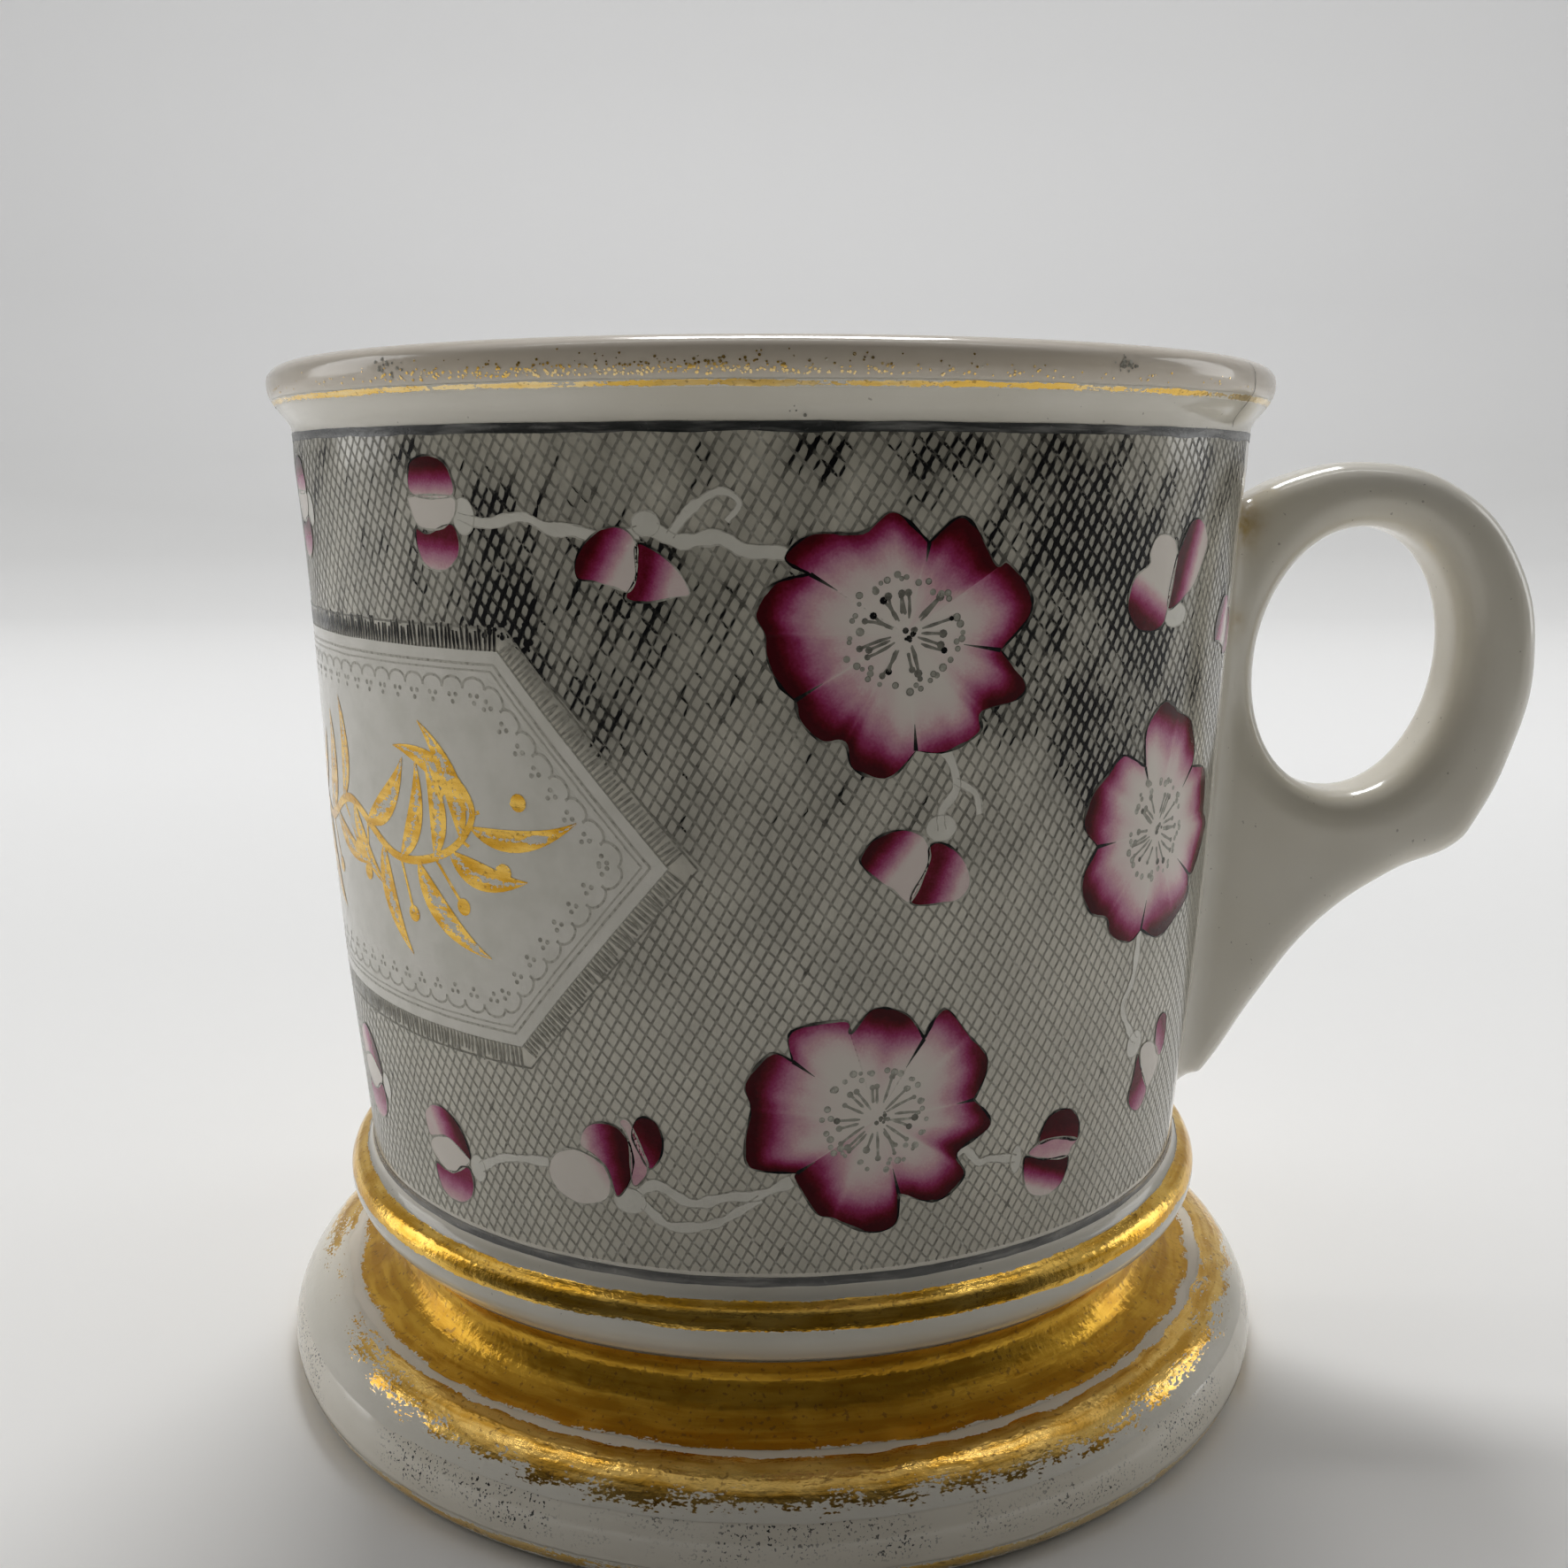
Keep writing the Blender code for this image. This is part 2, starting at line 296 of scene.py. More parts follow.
WHITE = (0.8, 0.765, 0.675)
CREAM = (0.72, 0.68, 0.58)
LIP_BROWN = (0.72, 0.64, 0.53)
# The foot's glaze is the cup's, painted brighter and warmer as painted light on the shaded foot.
FOOT_LIT_WHITE, FOOT_LIT_CREAM = (0.88, 0.83, 0.72), (0.8, 0.74, 0.62)
KILN_DUST, PORE_BLACK = (0.16, 0.13, 0.1), (0.03, 0.028, 0.025)
TEA_BROWN, BARE_CLAY = (0.5, 0.36, 0.14), (0.55, 0.5, 0.42)
GLAZE_IOR = 1.62
PAINT_IOR = 1.2
GOLD_LIGHT = (0.88, 0.56, 0.12)
GOLD_DEEP = (0.62, 0.33, 0.03)
GOLD_PALE = (0.9, 0.7, 0.36)
# The scotia's gold, painted deeper amber and brown over its own colour as painted shade and reflection
# in its hollow.
SHADED_GOLD_AMBER, SHADED_GOLD_BROWN = (0.8, 0.46, 0.05), (0.55, 0.28, 0.02)
GOLD_ROSE, GOLD_BRONZE = (0.87, 0.57, 0.16), (0.58, 0.31, 0.04)
GOLD_PIT = (0.22, 0.12, 0.04)
# How metallic the gold is where it isn't worn.
GOLD_BODY = 0.9
GOLD_IOR = 1.15
GROUND_PALE, GROUND_GREY = (0.7, 0.665, 0.56), (0.34, 0.325, 0.27)
# The print's colour from thin ink to heavy, and a petal's from its bare heart to its full edge.
INK_STOPS = (
    (0.0, (0.6, 0.58, 0.51)), (0.12, (0.4, 0.385, 0.33)), (0.3, (0.25, 0.24, 0.205)),
    (0.52, (0.11, 0.105, 0.09)), (0.8, (0.012, 0.012, 0.012)), (1.0, (0.004, 0.004, 0.005)),
)
PETAL_STOPS = (
    (0.0, (0.84, 0.78, 0.71)), (0.12, (0.8, 0.64, 0.62)), (0.25, (0.7, 0.42, 0.47)),
    (0.37, (0.6, 0.29, 0.39)), (0.5, (0.48, 0.14, 0.26)), (0.62, (0.35, 0.04, 0.14)),
    (0.74, (0.24, 0.012, 0.055)), (0.86, (0.125, 0.003, 0.011)), (1.0, (0.06, 0.002, 0.005)),
)


def glaze_bump(shader):
    """The faint waviness of a glaze, like the peel of an orange."""
    return shader.bump(shader.noise(0.35, 3.0), 0.00012, 0.25)


def porcelain(name, white=WHITE, cream=CREAM, stain=False, bare_foot=False, brown_lip=False):
    """Glazed white clay, clouded with cream and speckled with kiln dust."""
    shader = Shader(name)
    colour = shader.mix(shader.rise(shader.noise(0.05, 3.0), 0.35, 0.7), white, cream)
    specks = shader.rise(shader.noise(1.9, 1.0), 0.765, 0.79)
    colour = shader.mix(shader.times(specks, 0.45), colour, KILN_DUST)
    if brown_lip:
        colour = shader.mix(shader.attribute("handled"), colour, LIP_BROWN)
    if stain:
        brown = shader.times(shader.attribute("stain"), shader.noise(0.8, 4.0))
        colour = shader.mix(shader.times(brown, 2.2, clamp=True), colour, TEA_BROWN)
    roughness = shader.dullness(0.09, 0.17, 0.4, 3.0)
    if bare_foot:
        bare = shader.attribute("bare")
        colour = shader.mix(bare, colour, BARE_CLAY)
        roughness = shader.math("MAXIMUM", roughness, shader.times(bare, 0.8))
        pores = shader.rise(shader.noise(4.2, 2.0), 0.6, 0.63, smooth=False)
        pores = shader.times(pores, shader.rise(shader.noise(0.1, 3.0), 0.42, 0.56))
        colour = shader.mix(shader.times(pores, shader.attribute("pitted")), colour, PORE_BLACK)
    shader.set(Base_Color=colour, Roughness=roughness, Normal=glaze_bump(shader), IOR=GLAZE_IOR)
    return shader.material


def gilding(name, wear, edge_stops, gloss=(0.08, 0.24), light=GOLD_LIGHT, deep=GOLD_DEEP,
            body=GOLD_BODY):
    """Burnished gold. It thins to the glaze in specks, most where the stops across it say so."""
    shader = Shader(name)
    thin = shader.ramp(shader.attribute("across"), edge_stops, smooth=False)
    patches = shader.noise(0.5, 5.0, (0.6, 1.5, 1.0), 0.3)
    specks = shader.noise(3.2, 3.0, (0.8, 1.2, 1.0))
    loss = shader.plus(shader.times(patches, 0.55), shader.times(specks, 0.45))
    loss = shader.plus(loss, shader.swing(0.2, 2.2, 3.0, (0.1, 2.6, 1.0)))
    loss = shader.plus(shader.plus(loss, shader.attribute("rubbed")), thin)
    worn = shader.rise(loss, wear, wear + 0.03, smooth=False)
    strokes = shader.noise(0.9, 4.0, (0.07, 1.5, 1.0))
    clouds = shader.times(shader.plus(shader.noise(0.5, 8.0, (0.5, 1.1, 1.0)), strokes), 0.5)
    gold = shader.mix(shader.rise(clouds, 0.4, 0.6), light, deep)
    pits = shader.rise(shader.noise(2.1, 3.0), 0.6, 0.68)
    gold = shader.mix(shader.times(pits, 0.6), gold, GOLD_PIT)
    grain = shader.bump(shader.plus(shader.noise(1.6, 4.0), strokes), 0.00009, 0.5)
    waves = shader.noise(0.25, 4.0, (0.8, 1.0, 1.0), 0.3)
    shader.set(
        Base_Color=shader.mix(worn, gold, WHITE),
        Metallic=shader.range(worn, 0.0, 1.0, body, 0.0),
        Roughness=shader.range(shader.noise(0.8, 5.0, (0.4, 1.4, 1.0)), 0.35, 0.68, *gloss),
        Normal=shader.bump(waves, 0.00025, 0.5, Normal=grain),
        IOR=GOLD_IOR,
    )
    return shader.material


def enamel(name, dark, pale):
    """A painted line, thinner where the brush ran dry."""
    shader = Shader(name)
    dry = shader.rise(shader.noise(0.5, 5.0, (0.35, 2.2, 1.0)), 0.42, 0.72)
    shader.set(
        Base_Color=shader.mix(dry, dark, pale),
        Roughness=shader.dullness(0.16, 0.3, 1.0, 3.0),
        Normal=shader.bump(shader.noise(1.5, 3.0), 0.00005, 0.4),
    )
    return shader.material


def ink(name):
    """Transfer-print ink, from grey where it is thin to black where it is heavy."""
    shader = Shader(name)
    amount = shader.plus(shader.attribute("strength"), shader.swing(0.5, 2.2, 3.0), clamp=True)
    colour = shader.ramp(amount, INK_STOPS)
    shader.set(Base_Color=colour, Roughness=0.2, Normal=glaze_bump(shader), IOR=PAINT_IOR)
    return shader.material


def ground(name):
    """The glaze under the print, greyed a little where the ink is heavy."""
    shader = Shader(name)
    grey = shader.plus(shader.attribute("strength"), shader.swing(0.9, 0.12, 4.0), clamp=True)
    shader.set(
        Base_Color=shader.mix(grey, GROUND_PALE, GROUND_GREY),
        Roughness=shader.dullness(0.1, 0.18, 0.4, 3.0),
        Normal=glaze_bump(shader),
        IOR=GLAZE_IOR,
    )
    return shader.material


def petal_paint(name):
    """Brushed enamel, from white at the heart of a petal through magenta to crimson."""
    shader = Shader(name)
    reach = shader.attribute("reach")
    painted = shader.range(reach, 0.03, 0.2, 0.0, 1.0)
    brush = shader.times(shader.swing(0.22, 1.1, 4.0), painted)
    grain = shader.times(shader.swing(0.16, 6.0, 2.0), painted)
    amount = shader.plus(shader.plus(reach, brush), grain, clamp=True)
    colour = shader.ramp(amount, PETAL_STOPS, smooth=False)
    shader.set(Base_Color=colour, Roughness=0.17, Normal=glaze_bump(shader), IOR=PAINT_IOR)
    return shader.material


def plain_glaze(name, colour, other):
    """A glaze clouded from the one colour to the other."""
    shader = Shader(name)
    shader.set(
        Base_Color=shader.mix(shader.rise(shader.noise(0.3, 4.0), 0.35, 0.7), colour, other),
        Roughness=shader.dullness(0.11, 0.19, 0.5, 3.0),
        Normal=glaze_bump(shader),
    )
    return shader.material


# ------------------------------------------------------------------ meshes

def linked(name, data):
    """An object with this data, put into the scene."""
    obj = bpy.data.objects.new(name, data)
    bpy.context.scene.collection.objects.link(obj)
    return obj


def piece(name, points, faces, material, values):
    """A mesh that rides on the mug. Values are per-point numbers, or places, by name."""
    mesh = bpy.data.meshes.new(name)
    mesh.from_pydata(points, [], faces)
    mesh.materials.append(material)
    for key, numbers in values.items():
        if key == "place":
            layer = mesh.attributes.new(key, "FLOAT_VECTOR", "POINT")
            layer.data.foreach_set("vector", [c for number in numbers for c in number])
        else:
            layer = mesh.attributes.new(key, "FLOAT", "POINT")
            layer.data.foreach_set("value", numbers)
    mesh.polygons.foreach_set("use_smooth", [True] * len(mesh.polygons))
    mesh.update()
    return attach(linked(name, mesh), BODY)


def turned(name, line, material, rules):
    """A surface of revolution through this outline. Each rule gives a value from radius, height."""
    points, places, faces = [], [], []
    lengths = [0.0]
    for a, b in zip(line, line[1:]):
        lengths.append(lengths[-1] + math.dist(a, b))
    for k, (r, z) in enumerate(line):
        for i in range(TURNS):
            angle = math.tau * i / TURNS
            points.append(around(angle, r, z) if r > 0.0 else Vector((AXIS_X, 0.0, z * MM)))
            places.append((r * math.cos(angle), r * math.sin(angle), z + lengths[k] * 0.02))
    for k in range(len(line) - 1):
        here, ahead = k * TURNS, (k + 1) * TURNS
        for i in range(TURNS):
            j = (i + 1) % TURNS
            faces.append((here + i, ahead + i, ahead + j, here + j))
    values = {"place": places}
    for key, rule in rules.items():
        values[key] = [rule(r, z) for r, z in line for _ in range(TURNS)]
    obj = piece(name, points, faces, material, values)
    weld = bmesh.new()
    weld.from_mesh(obj.data)
    bmesh.ops.remove_doubles(weld, verts=weld.verts, dist=1e-7)
    weld.to_mesh(obj.data)
    weld.free()
    return obj


def stretch_of(line, top, bottom):
    """The part of an outline from one height down to another, cut exactly there."""
    part = []
    for a, b in zip(line, line[1:]):
        for z in (top, bottom):
            if (a[1] - z) * (b[1] - z) < 0.0:
                t = (z - a[1]) / (b[1] - a[1])
                part.append((a[0] + (b[0] - a[0]) * t, z))
        if bottom <= b[1] <= top:
            part.append(b)
    return part


def lifted(line, lift):
    """The outline moved this far out of the clay."""
    moved = []
    for i, (r, z) in enumerate(line):
        (ra, za), (rb, zb) = neighbours(line, i)
        length = math.dist((ra, za), (rb, zb))
        moved.append((r + lift * (za - zb) / length, z + lift * (rb - ra) / length))
    return moved


def point_along(line, distance):
    for a, b in zip(line, line[1:]):
        length = math.dist(a, b)
        if distance <= length:
            return between(a, b, distance / length)
        distance -= length
    return line[-1]


# How far each layer of the decoration stands out of the clay, so that none lies in another.
GROUND_LIFT, BAND_LIFT, BORDER_LIFT, MARK_LIFT = 0.015, 0.03, 0.05, 0.04
LATTICE_LIFTS = (0.03, 0.04)
PANEL_LIFT, PANEL_INK_LIFT, SPRIG_LIFT = 0.045, 0.06, 0.075
STEM_LIFT, STEM_INK_LIFT, PETAL_LIFT, FLOWER_INK_LIFT = 0.05, 0.057, 0.065, 0.075


def brushed_band(name, node, line, material, ragged, seed, rows, rubs=(), lift=BAND_LIFT):
    """A painted band in place of a CAD coating, its two edges wandering as a brush does.

    Each rub is where hands wore it: the angle round the mug, how far it spreads and how deep. The
    gold's grain runs alike both ways from the handle, so it meets itself with no seam."""
    low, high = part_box(node)
    part = lifted(stretch_of(line, high.z / MM, low.z / MM), lift)
    length = sum(math.dist(a, b) for a, b in zip(part, part[1:]))
    points, places, across, rubbed, faces = [], [], [], [], []
    turns = TURNS * 2
    for i in range(turns + 1):
        angle = math.tau * i / turns
        spot = Vector((math.cos(angle) * 9.0, math.sin(angle) * 9.0, seed))
        top = ragged[0] * (0.5 + 0.5 * noise.fractal(spot, 0.9, 2.0, 5))
        bottom = ragged[1] * (0.5 + 0.5 * noise.fractal(spot + Vector((0, 0, 7.0)), 0.9, 2.0, 5))
        for k in range(rows + 1):
            t = k / rows
            r, z = point_along(part, min(max(top + (length - top - bottom) * t, 0.0), length))
            points.append(around(angle, r, z))
            places.append((abs(math.remainder(angle, math.tau)) * ROLL_RADIUS, length * t, seed))
            across.append(t)
            rubbed.append(sum(
                deep * math.exp(-(math.remainder(angle - where, math.tau) / spread) ** 2)
                for where, spread, deep in rubs
            ))
    for i in range(turns):
        for k in range(rows):
            a, b = i * (rows + 1) + k, (i + 1) * (rows + 1) + k
            faces.append((a, a + 1, b + 1, b))
    values = {"place": places, "across": across, "rubbed": rubbed}
    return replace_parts(piece(name, points, faces, material, values), node)


# ------------------------------------------------------------------ drawing on the wall

class Drawing:
    """Shapes drawn flat on the unrolled wall, then wrapped onto it a little above the glaze.

    x runs along the wall from the drawing's middle angle and y is the height, both in
    millimetres. A mirrored drawing runs the other way round the mug."""

    def __init__(self, middle, mirrored=False):
        self.middle, self.way = middle, -1.0 if mirrored else 1.0
        self.points, self.values, self.places, self.faces = [], [], [], []

    def spot(self, x, y, value, place=None):
        self.points.append((x, y))
        self.values.append(value)
        self.places.append(place or (x, y, 0.0))
        return len(self.points) - 1

    def face(self, *corners):
        self.faces.append(corners if self.way > 0 else corners[::-1])

    def ribbon(self, path, widths, values):
        """A brush stroke along a path, with a width and a value at each of its points."""
        last = None
        for i, (x, y) in enumerate(path):
            (xa, ya), (xb, yb) = neighbours(path, i)
            length = math.dist((xa, ya), (xb, yb)) or 1.0
            nx, ny = -(yb - ya) / length * widths[i] / 2.0, (xb - xa) / length * widths[i] / 2.0
            pair = (self.spot(x - nx, y - ny, values[i]), self.spot(x + nx, y + ny, values[i]))
            if last:
                self.face(last[0], pair[0], pair[1], last[1])
            last = pair

    def line(self, path, width, value):
        self.ribbon(path, [width] * len(path), [value] * len(path))

    def fan(self, middle, rim):
        for a, b in sides(rim):
            self.face(middle, a, b)

    def dot(self, x, y, radius, value, sides=8):
        turns = [math.tau * k / sides for k in range(sides)]
        rim = [self.spot(x + radius * math.cos(t), y + radius * math.sin(t), value) for t in turns]
        self.fan(self.spot(x, y, value), rim)

    def sheet(self, rows, closed=False):
        """Rows of (x, y, value, place), joined into a patch."""
        made = [[self.spot(*p) for p in row] for row in rows]
        for low, high in zip(made, made[1:]):
            pairs = list(zip(range(len(low) - 1), range(1, len(low))))
            if closed:
                pairs.append((len(low) - 1, 0))
            for i, j in pairs:
                self.face(low[i], high[i], high[j], low[j])
        return made

    def patch(self, outline, rings, paint, centre=None):
        """A filled closed outline. It runs anticlockwise, and paint gives value and place."""
        if centre is None:
            centre = [sum(p[i] for p in outline) / len(outline) for i in (0, 1)]
        rows = []
        for ring in range(1, rings + 1):
            t = ring / rings
            row = []
            for k, p in enumerate(outline):
                x, y = between(centre, p, t)
                row.append((x, y, *paint(x, y, t, k)))
            rows.append(row)
        made = self.sheet(rows, closed=True)
        self.fan(self.spot(*centre, *paint(*centre, 0.0, 0)), made[0])

    def wrapped(self, name, material, lift, slot, key="strength"):
        """The drawing as a piece on the wall. Its values get this name in the material."""
        points = []
        for x, y in self.points:
            points.append(around(self.middle + self.way * x / ROLL_RADIUS, radius_at(y) + lift, y))
        made = piece(name, points, self.faces, material, {"place": self.places, key: self.values})
        return made


def catmull_rom(knots, steps):
    """A smooth line from the second of these points to the last but one, which it leaves out."""
    line = []
    for span in zip(knots, knots[1:], knots[2:], knots[3:]):
        for k in range(steps):
            t = k / steps
            line.append(tuple(
                0.5 * (2 * b + (c - a) * t + (2 * a - 5 * b + 4 * c - d) * t * t
                       + (3 * b - a - 3 * c + d) * t ** 3)
                for a, b, c, d in zip(*span)
            ))
    return line


def curve_through(points, steps):
    """A smooth open line through these points."""
    return catmull_rom([points[0], *points, points[-1]], steps) + [points[-1]]


def closed_curve(points):
    """A smooth closed line through these points, anticlockwise."""
    line = catmull_rom([points[-1], *points, *points[:2]], 6)
    turning = sum(a[0] * b[1] - b[0] * a[1] for a, b in sides(line))
    return line if turning > 0.0 else line[::-1]


def smoothstep(low, high, value):
    t = min(max((value - low) / (high - low), 0.0), 1.0)
    return t * t * (3.0 - 2.0 * t)


def blotch(x, y, size, seed):
    """Noise on the unrolled wall, in blotches of this size."""
    return noise.fractal(Vector((x / size, y / size, seed)), 1.0, 2.0, 3)


# ------------------------------------------------------------------ the camera and the room

CAMERA_DISTANCE = 150.95
CAMERA_HEIGHT = 82.36
CAMERA_DOWN = math.radians(10.965)
CAMERA_RIGHT = math.radians(0.417)
LENS, SENSOR = 36.04, 36.0
CLIP_START = 0.005


def make_camera():
    data = bpy.data.cameras.new("camera")
    data.lens = LENS
    data.sensor_width = SENSOR
    data.clip_start = CLIP_START
    camera = linked("camera", data)
    camera.location = (AXIS_X, -CAMERA_DISTANCE * MM, CAMERA_HEIGHT * MM)
    camera.rotation_euler = (math.pi / 2.0 - CAMERA_DOWN, 0.0, -CAMERA_RIGHT)
    bpy.context.scene.camera = camera


def area_light(name, place, target, size, power):
    data = bpy.data.lights.new(name, "AREA")
    data.shape = "RECTANGLE"
    data.size, data.size_y = size
    data.energy = power
    light = linked(name, data)
    light.location = place
    light.rotation_euler = (Vector(target) - Vector(place)).to_track_quat("-Z", "Y").to_euler()


# The paper's colour along Y, all of it painted light and shade: painted shade toward the camera, where
# the photographer stands in the light, a painted bright strip just in front of the mug that also lights
# its foot in reflection, painted shade behind the mug, where the light falls off, and painted light up
# the backdrop.
PAPER_NEAR, PAPER_FAR = -0.9, 2.1
PAPER_LIGHT_AND_SHADE = (
    (0.0, (0.04, 0.038, 0.032)), (0.158, (0.2, 0.19, 0.165)), (0.247, (0.82, 0.805, 0.77)),
    (0.29, (0.86, 0.855, 0.84)), (0.34, (0.79, 0.79, 0.78)), (0.4, (0.78, 0.78, 0.775)),
    (0.57, (0.59, 0.59, 0.585)), (0.74, (0.56, 0.56, 0.555)), (0.87, (0.67, 0.67, 0.67)),
    (1.0, (0.8, 0.8, 0.8)),
)


# The paper's outline from the floor to the top of the backdrop, as radius and height in metres.
PAPER_SWEEP = (
    (0.5, 0.0), (1.0, 0.0), (1.3, 0.02), (1.6, 0.1), (1.85, 0.28), (2.0, 0.6), (2.05, 1.0),
    (2.05, 2.2),
)
PAPER_TURNS = 96
# The sky brightens from the camera's side of the room to the far side.
SKY_COLOUR = (0.98, 0.98, 1.0, 1.0)
SKY_FROM, SKY_TO = -0.5, 0.7
SKY_DIM, SKY_BRIGHT = 0.03, 1.05
# Each light's place, where it points, its size and its power.
LIGHTS = {
    "window": ((0.03, 0.9, 1.5), (0.0, 0.1, 0.0), (0.7, 0.35), 14.0),
    "backdrop": ((0.0, 0.3, 1.8), (0.0, 2.0, 1.3), (2.0, 0.8), 20.0),
    "left": ((-1.2, 0.3, 0.45), (0.0, 0.0, 0.04), (0.5, 0.9), 2.4),
    "right": ((1.2, 0.4, 0.35), (0.0, 0.0, 0.04), (0.4, 0.9), 1.9),
}


def make_paper():
    paper = Shader("pale_paper")
    geometry = paper.node("NewGeometry")
    spot = paper.node("SeparateXYZ", Vector=geometry.outputs["Position"])
    along = paper.range(spot.outputs["Y"], PAPER_NEAR, PAPER_FAR, 0.0, 1.0)
    # The paper's colour is painted light and shade that varies along Y.
    paper.set(Base_Color=paper.ramp(along, PAPER_LIGHT_AND_SHADE, smooth=False), Roughness=0.65)
    sweep = bmesh.new()
    turns = [math.tau * i / PAPER_TURNS for i in range(PAPER_TURNS)]
    rows = [
        [sweep.verts.new((r * math.cos(a), r * math.sin(a), z)) for a in turns] for r, z in PAPER_SWEEP
    ]
    sweep.faces.new(rows[0])
    for low, high in zip(rows, rows[1:]):
        for i in range(PAPER_TURNS):
            j = (i + 1) % PAPER_TURNS
            sweep.faces.new((low[i], high[i], high[j], low[j]))
    mesh = bpy.data.meshes.new("floor")
    sweep.to_mesh(mesh)
    sweep.free()
    mesh.materials.append(paper.material)
    mesh.polygons.foreach_set("use_smooth", [True] * len(mesh.polygons))
    linked("floor", mesh)


def make_sky():
    world = bpy.data.worlds.new("studio")
    world.use_nodes = True
    tree = world.node_tree
    where = tree.nodes.new("ShaderNodeTexCoord")
    split = tree.nodes.new("ShaderNodeSeparateXYZ")
    shade = tree.nodes.new("ShaderNodeMapRange")
    for socket, value in zip(shade.inputs[1:5], (SKY_FROM, SKY_TO, SKY_DIM, SKY_BRIGHT)):
        socket.default_value = value
    tree.links.new(where.outputs["Generated"], split.inputs["Vector"])
    tree.links.new(split.outputs["Y"], shade.inputs["Value"])
    background = tree.nodes["Background"]
    background.inputs["Color"].default_value = SKY_COLOUR
    tree.links.new(shade.outputs["Result"], background.inputs["Strength"])
    bpy.context.scene.world = world


make_camera()
make_paper()
make_sky()
for light_name, light in LIGHTS.items():
    area_light(light_name, *light)
bpy.context.scene.view_settings.view_transform = "Standard"


# ------------------------------------------------------------------ clay

cup_glaze = porcelain("cup_glaze", brown_lip=True)
# The foot's glaze colours are painted lighter than the cup's, as painted light.
foot_glaze = porcelain("foot_glaze", FOOT_LIT_WHITE, FOOT_LIT_CREAM, bare_foot=True)
handle_glaze = porcelain("handle_glaze", stain=True)


def lip(r, z):
    """Where the lip is browned: the outside of the rim, from its gold line up."""
    return smoothstep(88.6, 89.4, z) if r > 40.0 else 0.0


def bare_foot(r, z):
    """Where the foot stands on the table, with its glaze wiped off."""
    return 1.0 - smoothstep(0.05, 0.35, z) if r < 46.6 else 0.0


def pitted_foot(r, z):
    """Where the foot's glaze is pitted: its outside, above the edge's gold line."""
    return smoothstep(2.6, 3.6, z) if r > 45.0 else 0.0


cup_outline = [(0.0, cup_line[0][1]), *cup_line, (0.0, cup_line[-1][1])]
cup = turned("cup_porcelain", cup_outline, cup_glaze, {"handled": lip})
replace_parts(cup, "cup")
foot_rules = {"bare": bare_foot, "pitted": pitted_foot}
foot = turned("foot_porcelain", [*foot_line, foot_line[0]], foot_glaze, foot_rules)
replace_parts(foot, "foot")

HANDLE_RING = [
    (42.4, 79.6), (48.0, 82.6), (56.0, 84.0), (64.0, 81.8), (70.0, 75.6), (72.6, 65.4), (70.9, 56.2),
]
HANDLE_SPUR = [(68.1, 49.8), (66.7, 47.8)]
HANDLE_SWEEP = [(60.4, 44.8), (53.2, 39.4), (47.6, 32.0), (44.2, 26.4)]
HANDLE_ROOT = [(42.6, 24.1), (36.0, 23.7), (36.0, 77.8)]
HOLE_CENTRE = (55.3, 65.4)
HOLE_HALF_LENGTH, HOLE_HALF_WIDTH, HOLE_TILT = 12.7, 9.5, math.radians(7.0)
HANDLE_ROUNDING = 3.3
VOXEL = 0.4
# How far from the wall the handle starts to spread, how far it spreads at the wall itself, and how
# sharply.
ROOT_REACH, ROOT_FLARE, ROOT_CURVE = 2.6, 1.5, 2.2
# The handle runs this far into the wall before it is cut off out of sight.
ROOT_DEPTH = 0.9
# Where the handle's cheeks are pressed in, and its tea stains: x, z, half-sizes and strength.
CHEEK = (52.5, 45.5, 6.5, 7.0, 0.45)
STAINS = ((43.2, 78.6, 1.8, 2.6, 0.8), (43.0, 69.5, 1.0, 1.6, 0.4))


def hump(x, y, middle_x, middle_y, wide, tall, height):
    """A smooth hump on a plane."""
    return height * math.exp(-(((x - middle_x) / wide) ** 2 + ((y - middle_y) / tall) ** 2))


def outline_spline(curve, points, sharp=()):
    spline = curve.splines.new("BEZIER")
    spline.bezier_points.add(len(points) - 1)
    spline.use_cyclic_u = True
    spline.resolution_u = 12
    for knot, point in zip(spline.bezier_points, points):
        knot.co = (point[0] * MM, point[1] * MM, 0.0)
        corner = "VECTOR" if point in sharp else "AUTO"
        knot.handle_left_type = corner
        knot.handle_right_type = corner


